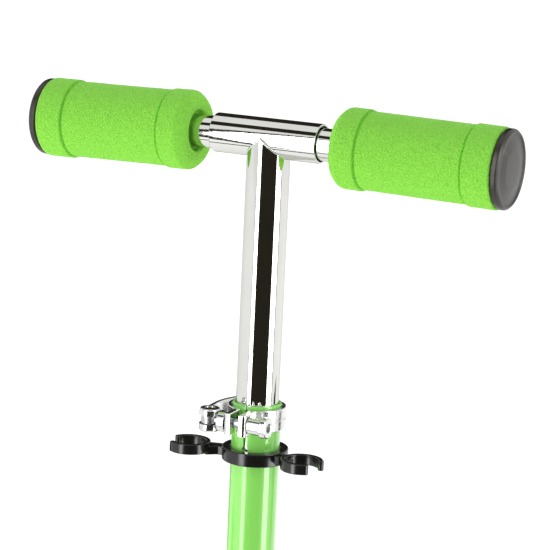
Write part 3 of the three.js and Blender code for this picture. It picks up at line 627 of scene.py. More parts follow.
def end_cap(name, matrix):
    """Moulded end cap: a thin rim round a shallow dish with a low dome, and a ribbed plug inside the tube."""
    face = GRIP[1] + 0.3
    ribs = []
    for k in range(4):
        ribs += [(7.3, face - 14.6 + 3.4 * k), (7.8, face - 13.6 + 3.4 * k), (7.3, face - 12.6 + 3.4 * k)]
    outline = [(0, face - 16), (7.0, face - 16, 0.5), *ribs, (7.7, face), (22.0, face, 0.3), (CAP_R, face + 0.9, 0.6),
               (CAP_R, face + 3.6, 1.4), (21.6, face + 5.0, 0.7), (20.7, face + 5.0, 0.3), (20.2, face + 4.4, 0.3),
               (17.5, face + 4.5, 0.6), (11, face + 5.4, 3), (0, face + 5.8)]
    cap = turned(f"end_cap_{name}", outline, matrix @ ALONG_X, 128, 5, 40)
    finish(cap, CAP, f"{name}_handle", f"{name}_end_cap")


def handle_tube(name, side, matrix):
    wall = ring(f"handle_tube_{name}", 9.5, 8.3, 8, GRIP[1] - 1, matrix @ ALONG_X, 96, 0.35)
    hole = rod("hole", 2.9, 5, 12, matrix @ at(26) @ Matrix.Rotation(-side * pi / 2, 4, "X"), 32)
    cut(wall, hole)
    finish(soften(wall, 0.15), CHROME, f"{name}_handle", f"{name}_handle_tube")


for NAME, WAY in (("left", 1), ("right", -1)):
    HANDLE = handle_frame(WAY)
    foam_grip(NAME, WAY, HANDLE)
    end_cap(NAME, HANDLE)
    handle_tube(NAME, WAY, HANDLE)
    dress(f"{NAME}_snap_button", SPRING, 0.15)


# ---- T-bar ----
def saddle(x):
    """Height of the upright's mitred top, which follows the cross sleeve."""
    return 0.3 - 0.87 * abs(x)


def stem_upright():
    """Chrome tube with its top mitred to the sleeve and its foot open."""
    sides, r, wall = 144, STEM_R, STEM_WALL
    verts, rows = [], []
    for radius, height in ((r, None), (r, STEM_FOOT + 0.4), (r - 0.4, STEM_FOOT), (r - wall + 0.3, STEM_FOOT),
                           (r - wall, STEM_FOOT + 0.3), (r - wall, None)):
        rows.append([len(verts) + i for i in range(sides)])
        for i in range(sides):
            x, y = radius * cos(TAU * i / sides), radius * sin(TAU * i / sides)
            verts.append((x, y, saddle(x) if height is None else height))
    return solid("stem_upright", verts, skin([*rows, rows[0]]), BAR)


def weld_bead():
    """The smooth plated weld where the upright meets the sleeve."""
    sides, around, r = 144, 12, 1.15
    verts, faces = [], []
    for i in range(sides):
        angle = TAU * i / sides
        out = Vector((cos(angle), sin(angle), 0))
        centre = out * 12.0
        centre.z = saddle(centre.x) + 0.15
        ripple = r * (1 + 0.05 * sin(angle * 36))
        for k in range(around):
            turn = TAU * k / around
            verts.append(centre + out * (ripple * cos(turn)) + Vector((0, 0, ripple * 0.95 * sin(turn))))
    for i in range(sides):
        for k in range(around):
            j, m = (i + 1) % sides, (k + 1) % around
            faces.append((i * around + k, j * around + k, j * around + m, i * around + m))
    return solid("stem_weld", verts, faces, BAR, 60)


def cross_sleeve():
    sleeve = ring("cross_sleeve", SLEEVE_R, SLEEVE_BORE, -SLEEVE_HALF, SLEEVE_HALF, BAR @ ALONG_X, 144, 0.45)
    holes = [rod("hole", 3, 5, 15, BAR @ at(x) @ Matrix.Rotation(-pi / 2, 4, "X"), 32) for x in (-26, 26)]
    return soften(cut(sleeve, *holes), 0.2)


finish(stem_upright(), CHROME, "handlebar", "handlebar_stem")
finish(weld_bead(), CHROME, "handlebar")
finish(cross_sleeve(), CHROME, "handlebar")
dress("stem_end_bush", BLACK)


# ---- Steering column ----
def column():
    wall = ring("column_tube", COLUMN_R, COLUMN_BORE, COLUMN_BOTTOM, LIP, STEER, 128, 0.4)
    slit = prism("slit", [rectangle(1, -20, -8)], CLIP_HIGH + 1, LIP + 1, STEER, 0)
    stop = rod("stop", 2, 8, 20, STEER @ at(0, 0, CLIP_HIGH + 1) @ ALONG_Y, 32)
    base = prism("base", [rectangle(1, 8, 20)], COLUMN_BOTTOM - 1, COLUMN_BOTTOM + 22, STEER, 0)
    cut(wall, slit, stop, base)
    return soften(wall, 0.2)


finish(column(), PAINT, STEERING, "steering_column")


def split_band(name, outer, bore, ear_x, gap, ear_end, low, high, bevel, front):
    """A split clamp ring with two ears, seen from above. front is -1 for ears at the front, 1 for ears at the back."""
    inner_angle = degrees(asin(gap / bore))
    outer_angle = degrees(asin(ear_x / outer))
    turn = 90 * front
    inner = arc(0, 0, bore, turn - inner_angle + 360, turn + inner_angle, 64)
    outside = arc(0, 0, outer, turn + outer_angle, turn - outer_angle + 360, 64)
    side = -front
    path = rounded([(side * gap, front * ear_end), (side * ear_x, front * ear_end, 2.2), outside[0]], False, 4)
    tail = rounded([outside[-1], (-side * ear_x, front * ear_end, 2.2), (-side * gap, front * ear_end)], False, 4)
    return prism(name, [[*path[:-1], *outside, *tail[1:], *inner]], low, high, STEER, bevel)


def clamp_band():
    band = split_band("height_clamp_band_ring", 17.4, CLAMP_BORE, 7.0, 2.8, 30.0, CLAMP_LOW, CLAMP_HIGH, 0.7, -1)
    hole = rod("hole", 2.9, -10, 10, CLAMP @ ALONG_X, 32)
    groove = ring("groove", 19, 17.1, CLAMP_MID - 0.5, CLAMP_MID + 0.5, STEER, 96, 0.0)
    cut(band, hole, groove)
    return soften(band, 0.15)


finish(clamp_band(), CAST, STEERING, "height_clamp_band")


def skewer(name, r, low, high, matrix, eye_half, eye_turn=Matrix.Identity(4)):
    """A threaded rod with an eye for the lever's pin."""
    pitch = 1.0
    height = high - 11
    profile = [(0, low), (r - 0.05, low), (r - 0.05, height)]
    while height < high - 1.2:
        profile += [(r - 0.3, height + pitch * 0.35), (r, height + pitch * 0.6), (r, height + pitch * 0.7)]
        height += pitch
    profile += [(r - 0.5, high), (0, high)]
    shank = lathe(name, profile, matrix @ ALONG_X, 32, 50)
    eye = ring("eye", 5, 3.2, -eye_half, eye_half, matrix @ at(low - 4) @ eye_turn, 48, 0.3)
    return join(shank, eye)


finish(skewer("clamp_skewer_rod", 2.5, PIN_X + 4, 13, CLAMP, 2.2), ZINC, STEERING, "clamp_skewer")
finish(rod("clamp_pin", 2.9, -6.6, 6.6, CLAMP @ at(PIN_X), 48, 0.5), CHROME, "height_clamp_lever", "clamp_lever_pin")


def cam_seat():
    outline = rounded([(2.9, -12.2), (6.3, -12.2, 0.8), (6.3, -7.3, 0.4), (2.9, -7.3)], True, 4)
    seat = lathe("cam_seat", outline, CLAMP @ ALONG_X, 64)
    finish(seat, CAST, STEERING, "clamp_cam_seat")


cam_seat()


def spline(points, steps=8):
    """Points of a smooth curve through points."""
    out = []
    for i in range(len(points) - 1):
        p0, p1 = Vector(points[max(0, i - 1)]), Vector(points[i])
        p2, p3 = Vector(points[i + 1]), Vector(points[min(len(points) - 1, i + 2)])
        for k in range(steps):
            t = k / steps
            out.append(tuple(0.5 * (2 * p1 + (p2 - p0) * t + (2 * p0 - 5 * p1 + 4 * p2 - p3) * t * t
                                    + (3 * p1 - p0 - 3 * p2 + p3) * t ** 3)))
    return [*out, tuple(points[-1])]


def clamp_lever():
    """Cast cam lever that hugs the -X side of the column and ends behind it."""
    outer = [(-25.2, -24), (-26.8, -10), (-26.9, 4), (-22.8, 17), (-13, 27.2), (-6, 30.5)]
    inner = [(-5, 27.2), (-11.5, 24.2), (-20, 14.5), (-23.7, 3), (-23.8, -8), (-20.5, -17.9)]
    loop = arc(PIN_X, SKEWER_Y, 6.2, -90, -180, 12) + spline(outer)[1:] + spline(inner)
    loop += arc(PIN_X, SKEWER_Y, 6.2, 81, -86, 24)
    body = prism("clamp_cam_lever", [loop], -4.7, 4.7, STEER @ at(0, 0, CLAMP_MID), 1.3)
    pin = STEER @ at(PIN_X, SKEWER_Y, CLAMP_MID)
    join(body, rod("knuckle", 6.2, -6.9, 6.9, pin, 64, 1.2))
    fork = prism("slot", [[*arc(0, 0, 9.5, 35, -215, 40), (-7.8, 5.5), (7.8, 5.5)]], -2.6, 2.6, pin, 0)
    cut(body, fork, rod("hole", 3.15, -8, 8, pin, 40))
    finish(soften(body, 0.2), CAST, "height_clamp_lever", "clamp_lever")


clamp_lever()


def adjusting_nut():
    """Barrel nut with a flanged, socketed head."""
    outline = [(0, 7.3), (5.2, 7.3, 0.4), (5.2, 15.4, 0.3), (6.4, 15.9, 0.3)]
    outline += [(6.4, 19.0, 0.6), (5.6, 19.6, 0.3), (0, 19.6)]
    nut = turned("clamp_nut", outline, CLAMP @ ALONG_X, 64)
    bore = rod("bore", 2.8, 7, 14, CLAMP @ ALONG_X, 32)
    cut(nut, bore, socket(3.2, 16.6, 21, CLAMP @ ALONG_X))
    finish(soften(nut, 0.15), CAST, STEERING, "clamp_adjusting_nut")


adjusting_nut()


# ---- Storage clip ----
def grip_clip():
    """Moulded clip: a ring round the column and an open C at each side, drawn as one outline."""
    cx, cy, inside, outside = 37.0, -13.5, 9.8, 12.6
    tip = (outside - inside) / 2
    mid = (outside + inside) / 2
    upper, lower = radians(24), radians(-54)
    claw = arc(cx, cy, outside, 24, 306, 64)
    claw += [polar(polar((cx, cy), mid, lower), tip * 1.25, lower + k * pi / 8) for k in range(9)]
    claw += arc(cx, cy, inside, 306, 24, 64)
    claw += [polar(polar((cx, cy), mid, upper), tip * 1.25, upper + pi + k * pi / 8) for k in range(9)]
    arm = rounded([(13, -1), (19.6, -1.6), (23.0, -2.6, 3), (28.4, -4.0), (29.0, -8), (26.5, -13.8), (24.7, -13.2),
                   (20.6, -9.6, 3), (17.2, -9.2), (14, -8)])
    rib = rounded([(19.0, -4.6), (27.5, -6.9), (26.8, -8.9), (18.4, -6.4)])
    clip = ring("storage_clip", 19.8, CLAMP_BORE, CLIP_LOW, CLIP_HIGH, STEER, 128, 0.7)
    pieces = []
    for side in (1, -1):
        flip = [[(side * x, y) for x, y in loop] for loop in (claw, arm, rib)]
        pieces.append(prism("claw", [flip[0]], CLIP_LOW + 2.9, CLIP_HIGH + 1.2, STEER, 0.6))
        pieces.append(prism("arm", [flip[1]], CLIP_LOW + 1.5, CLIP_HIGH - 1.2, STEER, 0.5))
        pieces.append(prism("rib", [flip[2]], CLIP_LOW + 2, CLIP_HIGH - 0.2, STEER, 0.4))
    join(clip, *pieces)
    return soften(clip, 0.3)


finish(grip_clip(), BLACK, STEERING, "grip_clip")


# ---- Column base clamp and headset ----
BASE_LOW, BASE_HIGH = COLUMN_BOTTOM + 1, COLUMN_BOTTOM + 27
BASE_BOLT_Z = (BASE_LOW + 7, BASE_HIGH - 7)
BASE_BOLT_Y = 25.0


def base_clamp():
    body = split_band("base_clamp_body", 19.5, CLAMP_BORE, 8.0, 1.5, 31.0, BASE_LOW, BASE_HIGH, 0.8, 1)
    holes = [rod("hole", 2.8, -20, 20, STEER @ at(0, BASE_BOLT_Y, z) @ ALONG_X, 32) for z in BASE_BOLT_Z]
    relief = ring("relief", 22, 18.9, BASE_LOW + 9, BASE_HIGH - 9, STEER, 96, 0.5)
    keep = prism("keep", [rectangle(9, 8, 34)], BASE_LOW, BASE_HIGH, STEER, 0)
    cut(relief, keep)
    cut(body, relief, *holes)
    finish(soften(body, 0.3), TURNED, STEERING, "column_base_clamp")


base_clamp()


def cap_screw(name, matrix, head_r, shank_r, head_from, head_to, tip):
    outline = [(0, head_from), (head_r, head_from, 0.6), (head_r, head_to, 0.2)]
    outline += [(shank_r, head_to), (shank_r, tip, 0.3), (0, tip)]
    screw = turned(name, outline, matrix, 48, 3)
    cut(screw, socket(head_r * 0.55, head_from - 1, head_from + 2.2, matrix))
    return soften(screw, 0.12)


for NAME, HEIGHT in zip(("lower", "upper"), BASE_BOLT_Z):
    SCREW = cap_screw(f"base_screw_{NAME}", STEER @ at(0, BASE_BOLT_Y, HEIGHT) @ ALONG_X, 4.2, 2.5, -12.3, -8.3, 9)
    finish(SCREW, ZINC, STEERING, f"base_clamp_bolt_{NAME}")


def headset():
    lower = [(13.3, 65.3), (17.8, 65.3, 0.6), (19, 67.0, 0.5), (19, 70.0, 0.4), (13.3, 70.0)]
    upper = [(13.3, 132.3), (19, 132.3, 0.4), (19, 134.8, 0.6), (17.6, 137.5, 0.8), (13.3, 137.5)]
    finish(lathe("lower_cup", rounded(lower), STEER), TURNED, "neck", "lower_bearing_cup")
    finish(lathe("upper_cup", rounded(upper), STEER), TURNED, "neck", "upper_bearing_cup")
    nut = hex_nut("headset_nut", 18, 13.0, 138, COLUMN_BOTTOM - 1, STEER)
    finish(soften(nut, 0.15), ZINC, STEERING, "headset_locknut")
    dress("lower_headset_bearing", BEARING)
    dress("upper_headset_bearing", BEARING)


headset()


# ---- Fork ----
def fork():
    """Two blades, a crown and a short steerer, welded and plated as one."""
    blade = arc(0, 0, 11, 180, 360, 24) + [(9.2, 34), (11, 58), (11, 64), (-11, 64), (-11, 58), (-9.2, 34)]
    hole = circle(0, 0, 4.2, 32)
    right = prism("fork_body", [blade, hole], -PLATE_OUT, -PLATE_IN, STEER @ SIDE, 0.9)
    left = prism("left", [blade, hole], PLATE_IN, PLATE_OUT, STEER @ SIDE, 0.9)
    plan = rectangle(PLATE_OUT, -11, 11, 3.5)
    crown = prism("crown", [plan], 57.6, 64, STEER, 1.2)
    seat = ring("seat", 17, 10.2, 61, 65, STEER, 96, 0.5)
    steerer = ring("steerer", 12.7, 10.2, 60, 200, STEER, 96, 0.5)
    join(right, left, crown, seat, steerer)
    finish(soften(right, 0.25), CHROME, STEERING, "fork")


fork()


# ---- Wheels ----
def tyre(name, matrix):
    outline = [(36.2, -9.5), (39.5, -12, 1.5), (46.2, -12, 3.0), (49.3, -9.3, 3.0), (50.0, -4.5, 6), (50.0, 4.5, 6),
               (49.3, 9.3, 3.0), (46.2, 12, 3.0), (39.5, 12, 1.5), (36.2, 9.5)]
    return lathe(name, rounded(outline, True, 6), matrix, 160, 50)


def wheel_core(name, matrix):
    """Moulded core: rim, hub, a thin web and five tapered spokes with rounded roots."""
    rim = lathe(name, rounded([(30.8, -9.5, 0.6), (36.0, -9.5, 0.6), (36.0, 9.5, 0.6), (30.8, 9.5, 0.6)]), matrix, 128)
    barrel = [(4.6, -11.5), (14.2, -11.5, 1.2), (15.4, 0), (14.2, 11.5, 1.2), (4.6, 11.5)]
    hub = lathe("hub", rounded(barrel), matrix, 96)
    web = ring("web", 33, 7, -2.4, 2.4, matrix, 96, 0.2)
    spokes = []
    for k in range(5):
        turn = matrix @ Matrix.Rotation(TAU * k / 5, 4, "Z")
        shape = [(12.5, -5.2), (33, -3.6), (33, 3.6), (12.5, 5.2)]
        spokes.append(prism(f"spoke{k}", [shape], -4.5, 4.5, turn, 1.2))
    seats = [rod("seat", r, low, high, matrix, 64) for r, low, high in ((11.3, -12, -4.8), (11.3, 4.8, 12), (9, -6, 6))]
    join(rim, hub, web, *spokes)
    cut(rim, *seats)
    return soften(rim, 0.35, 2, 42)


def bearing(name, low, high, matrix):
    """Shielded ball bearing: races with a groove each side and a dished shield between them."""
    half = [(4.2, low, 0.3), (6.4, low, 0.2), (6.6, low + 0.45), (9.0, low + 0.45), (9.2, low, 0.2), (11, low, 0.5)]
    other = [(r, low + high - h, *f) for r, h, *f in reversed(half)]
    return lathe(name, rounded(half + other, True, 3), matrix, 64, 30)


def axle(name, matrix, body):
    head = [(0, -21.3), (4.0, -21.1, 1.0), (7, -18.6, 0.8), (7, -16.6, 0.2), (3.9, -16.6), (3.9, 22.6)]
    height = 14.0
    while height < 22.0:
        head.insert(-1, (3.9, height))
        head.insert(-1, (3.6, height + 0.5))
        height += 1.0
    bolt = turned(f"{name}_axle_bolt_turned", [*head, (3.2, 23.8), (0, 23.8)], matrix, 48, 4, 50)
    cut(bolt, socket(2.9, -22.5, -18.8, matrix))
    finish(soften(bolt, 0.12), ZINC, body, f"{name}_axle_bolt")
    nut = hex_nut(f"{name}_axle_nut_hex", 7.4, 4.15, 16.6, 22.3, matrix)
    finish(soften(nut, 0.12), ZINC, body, f"{name}_axle_nut")


for NAME, PLACE, HOLDER in (("front", FRONT_WHEEL, STEERING), ("rear", REAR_WHEEL, DECK)):
    WHEEL = f"{NAME}_wheel"
    finish(tyre(f"{NAME}_tyre_cast", PLACE), TYRE, WHEEL, f"{NAME}_tyre")
    finish(wheel_core(f"{NAME}_core", PLACE), NYLON, WHEEL, f"{NAME}_wheel_core")
    for EDGE, (LOW, HIGH) in (("left", (5, 12)), ("right", (-12, -5))):
        BALL = bearing(f"{NAME}_ball_bearing_{EDGE}", LOW, HIGH, PLACE)
        finish(BALL, BEARING, WHEEL, f"{NAME}_bearing_{EDGE}")
    dress(f"{NAME}_bearing_spacer", TURNED)
    axle(NAME, PLACE, HOLDER)


# ---- Folding neck ----
def neck():
    """Head tube and cheek arm, with a curved slot for the lock."""
    py, pz = PIVOT
    head = ring("folding_neck_body", 19, 15.6, 70.3, 132, STEER, 128, 0.6)
    lug = arc(py, pz, 38, degrees(1.08), degrees(-1.0), 40)
    toe = arc(py, pz, 14, degrees(-1.6), degrees(-2.4), 10)
    arm = [(FRONT_AXLE_Y + 15, 172.6), (FRONT_AXLE_Y + 38, 171), (FRONT_AXLE_Y + 42, 169), *lug, *toe,
           (FRONT_AXLE_Y + 26, 126), (FRONT_AXLE_Y + 13, 134)]
    first, last = -40.0, 44.0
    slot = arc(py, pz, 34.1, first, last, 30)
    slot += arc(*polar(PIVOT, 30, radians(last)), 4.1, last, last + 180, 14)[1:]
    slot += arc(py, pz, 25.9, last, first, 30)[1:] + arc(*LOCK, 4.1, first + 180, first + 360, 14)[1:-1]
    cheek = prism("cheek", [arm, slot, circle(py, pz, 4.3, 40)], -13, 13, MM @ SIDE, 2.2, 4)
    bore = rod("bore", 15.6, 60, 140, STEER, 128)
    cut(cheek, bore)
    join(head, cheek)
    corners = ((40, 152, 4), (70, 121, 6), (62, 104, 6), (38, 124, 5))
    panel = rounded([(FRONT_AXLE_Y + y, z, radius) for y, z, radius in corners])
    recesses = [prism("recess", [panel], low, high, MM @ SIDE, 0) for low, high in ((-15, -11.4), (11.4, 15))]
    cut(head, *recesses)
    finish(soften(head, 0.5, 3), PAINT, "neck", "folding_neck")


neck()


# ---- Deck and brackets ----
FLANGE_LOW, FLANGE_HIGH = DECK_UNDER - 3.3, DECK_UNDER - 0.3
BOLT_X = 23.0
BOLT_Y = {"front": -85.0, "rear": 135.0}


def plate_with_bolts(name, y0, y1, bolt_y):
    plan = rectangle(30, y0, y1, 6)
    holes = [circle(x, bolt_y, 2.8, 24) for x in (-BOLT_X, BOLT_X)]
    return prism(name, [plan, *holes], FLANGE_LOW, FLANGE_HIGH, MM, 0.4)


def bracket(name, outline, holes, inner, outer, flange):
    left = prism("left", [outline, *holes], inner, outer, MM @ SIDE, 0.5)
    right = prism(name, [outline, *holes], -outer, -inner, MM @ SIDE, 0.5)
    join(right, left, flange)
    finish(soften(right, 0.2), ZINC, DECK, name.replace("_plates", ""))


def front_bracket():
    py, pz = PIVOT
    outline = arc(py, pz, 16, 198, 63, 28)
    outline += rounded([outline[-1], (DECK_Y[0] - 4, pz + 2, 4), (DECK_Y[0] - 1, 71.7, 1.5), (-45, 71.7, 2),
                        (-45, 60, 5), (-112, 47, 8), polar(LOCK, 12, radians(-90))], False)[1:]
    outline += arc(*LOCK, 12, -90, -144, 12)
    holes = [circle(py, pz, 4.3, 32), circle(*LOCK, 4.1, 32), circle(-88, 60.5, 5, 32), circle(-68, 63, 3.6, 32)]
    flange = plate_with_bolts("flange", DECK_Y[0] + 4, -48, BOLT_Y["front"])
    return bracket("front_bracket_plates", outline, holes, BRACKET_IN, BRACKET_OUT, flange)


def rear_bracket():
    py, pz = FENDER_PIN
    outline = [(100, 71.7), (100, 61)]
    outline += rounded([(100, 61), (104, 59.5, 2), (150, 50, 20), (REAR_AXLE_Y - 10, 38, 6),
                        polar((REAR_AXLE_Y, AXLE_Z), 13, -pi * 0.6)], False)[1:]
    outline += arc(REAR_AXLE_Y, AXLE_Z, 13, -108, 81, 30)[1:]
    outline += rounded([outline[-1], (py + 12, 70, 8), (py + 5.2, pz)], False)[1:]
    outline += arc(py, pz, 5.2, 0, 180, 16)[1:]
    outline += [(DECK_Y[1] + 0.8, pz - 2), (DECK_Y[1] + 0.8, 71.7)]
    holes = [circle(REAR_AXLE_Y, AXLE_Z, 4.2, 32), circle(py, pz, 2.3, 24), circle(160, 61, 4.5, 32)]
    flange = plate_with_bolts("flange", 103, 168, BOLT_Y["rear"])
    return bracket("rear_bracket_plates", outline, holes, PLATE_IN, PLATE_OUT, flange)


def deck():
    """Extruded deck: side skirts, two ribs underneath and fine grooves along its top edges."""
    w, t, u = 50.0, DECK_TOP, DECK_UNDER
    grooves = []
    for x in (47.4, 45.2, 43.0):
        grooves += [(x + 0.45, t), (x, t - 0.7), (x - 0.45, t)]
    top = [(w - 0.3, t - 2.2), (w - 0.8, t - 0.7), (w - 1.8, t), *grooves]
    side = [(w, t - 4), (w, t - 9.0), (w - 0.6, t - 9.5), (w - 0.6, t - 10.5), (w, t - 11)]
    right = [(w - 3, 60), (w, 60), *reversed(side), *top]
    under = [(-w + 3, u), (-36, u), (-36, 67), (-33, 67), (-33, u), (33, u), (33, 67), (36, 67), (36, u), (w - 3, u)]
    outline = under + right + [(-x, z) for x, z in reversed(right)]
    body = prism("deck_extrusion", [outline], -DECK_Y[1], -DECK_Y[0], MM @ END, 0)
    plan = rectangle(51, *DECK_Y, 14, 10)
    combine(body, [prism("plan", [plan], 50, 90, MM, 0)], "INTERSECT")
    holes = [rod("hole", 2.8, 60, 90, MM @ at(x, y), 24) for x in (-BOLT_X, BOLT_X) for y in BOLT_Y.values()]
    cut(body, *holes)
    finish(soften(body, 0.25), BRUSHED, DECK, "deck")


def grip_tape():
    """Sheet of grip tape with rounded corners and two narrow slots near each end."""
    y0, y1 = DECK_Y[0] + 14, DECK_Y[1] - 12
    plan = rectangle(41, y0, y1, 10, 10)
    slots = [rectangle(24, y - 1, y + 1, 0.9, 4) for y in (y0 + 16, y0 + 22, y1 - 22, y1 - 16)]
    tape = prism("deck_grip_sheet", [plan, *slots], DECK_TOP + 0.1, DECK_TOP + 1.1, MM, 0.25, 2)
    finish(tape, GRIT, DECK, "grip_tape")


front_bracket()
rear_bracket()
deck()
grip_tape()
for END_NAME, BOLT_AT in BOLT_Y.items():
    for NAME, WAY in (("left", 1), ("right", -1)):
        UNDER = FLANGE_LOW - 0.3
        SPOT = MM @ at(WAY * BOLT_X, BOLT_AT)
        HEAD = prism(f"{END_NAME}_deck_screw_{NAME}", [hexagon(4.5)], UNDER - 3.5, UNDER, SPOT, 0.5)
        join(HEAD, rod("shank", 2.5, UNDER - 1, DECK_TOP - 0.5, SPOT, 24, 0.2))
        finish(HEAD, ZINC, DECK, f"{END_NAME}_deck_bolt_{NAME}")


# ---- Fold pivot and lock ----
PIVOT_FRAME = MM @ at(0, *PIVOT) @ ALONG_X
LOCK_FRAME = MM @ at(0, *LOCK)
LOCK_PIN_X = -BRACKET_OUT - 8


def fold_pivot():
    out = BRACKET_OUT
    outline = [(0, -out - 4.6), (4.6, -out - 4.4, 0.8), (7.5, -out - 2, 0.8), (7.5, -out - 0.3, 0.2), (4, -out - 0.3),
               (4, out + 7.5, 0.5), (0, out + 7.5)]
    bolt = turned("fold_pivot_bolt_turned", outline, PIVOT_FRAME, 48)
    cut(bolt, socket(3.0, -out - 6, -out - 2.4, PIVOT_FRAME))
    finish(soften(bolt, 0.12), ZINC, DECK, "fold_pivot_bolt")
    nut = hex_nut("fold_pivot_nut_hex", 7.6, 4.2, out + 0.3, out + 6, PIVOT_FRAME)
    finish(soften(nut, 0.12), ZINC, DECK, "fold_pivot_nut")


def fold_lock():
    out = BRACKET_OUT
    rod_piece = skewer("fold_lock_skewer_rod", 3.3, LOCK_PIN_X + 4, out + 8, LOCK_FRAME, 2.3, ALONG_Y)
    finish(rod_piece, ZINC, DECK, "fold_lock_skewer")
    profile = ((3.8, 0.3, 0), (8.5, 0.3, 0.3), (8.5, 3, 0.5), (6.5, 4, 0.3), (6.5, 9, 0.5), (3.8, 9, 0))
    outline = [(r, out + x, radius) for r, x, radius in profile]
    knob = lathe("fold_lock_knurled_nut", rounded(outline, True, 3), LOCK_FRAME @ ALONG_X, 72)
    turns = [LOCK_FRAME @ ALONG_X @ Matrix.Rotation(TAU * k / 18, 4, "Z") for k in range(18)]
    notches = [rod("notch", 0.7, out - 1, out + 5, turn @ at(8.9), 12) for turn in turns]
    cut(knob, *notches)
    finish(knob, CHROME, DECK, "fold_lock_nut")
    pin = rod("fold_lever_pin", 2.9, -7, 7, LOCK_FRAME @ at(LOCK_PIN_X) @ ALONG_Y, 48, 0.5)
    finish(pin, CHROME, "fold_lever", "fold_lock_lever_pin")
    px = LOCK_PIN_X
    handle = [(px - 5.8, 10), (px - 5.5, 26, 20), (px - 9, 44, 14), (px - 6, 54, 2.2), (px - 1.5, 52, 1.6),
              (px - 3, 42, 14), (px - 0.5, 26, 14), (px + 2.5, 12)]
    loop = arc(px, 0, 7.2, 51.6, -207, 40) + rounded(handle, False)
    lever = prism("fold_lever_body", [loop], -6.5, 6.5, LOCK_FRAME @ END, 1.3, 4)
    slot = prism("slot", [[(px - 9, -3.8), (px + 9, -3.8), (px + 9, 3.8), (px - 9, 3.8)]], -9, 9, LOCK_FRAME, 0)
    hole = rod("hole", 3.15, -8, 8, LOCK_FRAME @ at(px) @ ALONG_Y, 40)
    cut(lever, slot, hole)
    finish(soften(lever, 0.3), BLACK, "fold_lever", "fold_lock_lever")


fold_pivot()
fold_lock()


# ---- Brake fender ----
def fender():
    """Bent sheet over the tyre, with side flaps that taper at both ends and a flicked tail."""
    cy, cz = REAR_AXLE_Y, AXLE_Z
    inner, outer = 56.0, 58.0
    half_in, half_out = PLATE_OUT + 0.6, PLATE_OUT + 2.5
    first, last, count = 14.0, 130.0, 72

    def flap(angle):
        """How far the flaps reach down from the outside of the sheet."""
        rise = max(0.0, min(1.0, (angle - 17) / 26))
        fall = max(0.0, min(1.0, (131 - angle) / 14))
        return 2.6 + 9.2 * (3 * rise ** 2 - 2 * rise ** 3) * (3 * fall ** 2 - 2 * fall ** 3) ** 0.35

    verts, rows = [], []
    for k in range(count + 1):
        angle = first + (last - first) * k / count
        low = outer - flap(angle)
        section = rounded([
            (-half_out, low, 0.5), (-half_out, outer, 2.6), (half_out, outer, 2.6), (half_out, low, 0.5),
            (half_in, low, 0.5), (half_in, inner, 1.2), (-half_in, inner, 1.2), (-half_in, low, 0.5),
        ], True, 4)
        a = radians(angle)
        rows.append([len(verts) + i for i in range(len(section))])
        verts += [(x, cy + r * cos(a), cz + r * sin(a)) for x, r in section]
    faces = skin(rows) + [rows[0], rows[-1][::-1]]
    shell = solid("brake_fender_shell", verts, faces, MM)
    flick = rounded([(cy + 54.4, 66.9), (cy + 54.2, 63.9), (cy + 58, 68.2, 6), (cy + 59.9, 69.6, 0.3),
                     (cy + 59.9, 71.6, 0.8), (cy + 56.5, 70.6, 6)])
    tail = prism("tail", [flick], -half_out + 3, half_out - 3, MM @ SIDE, 0.3)
    py, pz = FENDER_PIN
    lug = arc(py, pz, 5.4, 95, 290, 24) + [(cy - 30, cz + 36), (cy - 36.5, cz + 44.0)]
    sides = ((half_in, half_out), (-half_out, -half_in))
    lugs = [prism("lug", [lug], low, high, MM @ SIDE, 0.4) for low, high in sides]
    join(shell, tail, *lugs)
    cut(shell, rod("hole", 2.3, -30, 30, MM @ at(0, py, pz) @ ALONG_X, 32))
    finish(soften(shell, 0.2), BRUSHED, "fender", "brake_fender")


def fender_fittings():
    spot = MM @ at(0, *FENDER_PIN)
    outline = [(0, -23), (2.4, -22.8, 0.6), (3.6, -21.2, 0.5), (3.6, -19.5, 0.2), (2, -19.5), (2, 19.5),
               (3.2, 19.5, 0.2), (3.2, 20.7, 0.5), (2.2, 21.4, 0.4), (0, 21.5)]
    finish(turned("fender_rivet", outline, spot @ ALONG_X, 40, 3), ZINC, DECK, "fender_pin")
    turns, steps, r, length = 5, 12, 3.5, 12.0
    py, pz = FENDER_PIN
    points = [(-length / 2, py - r, pz - 10), (-length / 2, py - r, pz - 4)]
    for i in range(int(turns * steps - steps / 4) + 1):
        angle = TAU * i / steps
        points.append((-length / 2 + length * i / (turns * steps), py - r * cos(angle), pz + r * sin(angle)))
    end = (length / 2, REAR_AXLE_Y - 34.3, AXLE_Z + 40.2)
    points += [(length / 2, (points[-1][1] + end[1]) / 2, (points[-1][2] + end[2]) / 2 - 0.5), end]
    finish(tube("fender_torsion_spring", points, 0.75, MM), SPRING, DECK, "fender_spring")


fender()
fender_fittings()


# ---- Floor, world and reflected cards ----
def emitter(name, colour, strength):
    material = bpy.data.materials.new(name)
    material.use_nodes = True
    tree = material.node_tree
    tree.nodes.clear()
    glow = tree.nodes.new("ShaderNodeEmission")
    glow.inputs["Color"].default_value = (*colour, 1)
    glow.inputs["Strength"].default_value = strength
    out = tree.nodes.new("ShaderNodeOutputMaterial")
    tree.links.new(glow.outputs[0], out.inputs["Surface"])
    return material


DARK_CARD = emitter("dark_card", (0.024, 0.021, 0.014), 1.0)
LIGHT_CARD = emitter("light_card", (1.0, 1.0, 0.995), 7.0)
SKY_CARD = emitter("sky_card", (1.0, 1.0, 1.0), 1.0)
CAMERA_SIDE = 26.1  # azimuth of the camera round the bar, in degrees from -Y towards +X
FLOOR_HALF = 40000
SKY_R, SKY_WALL = 8000, 10
WORLD_LIGHT = 0.78
FLOOR_GLOW = 0.34

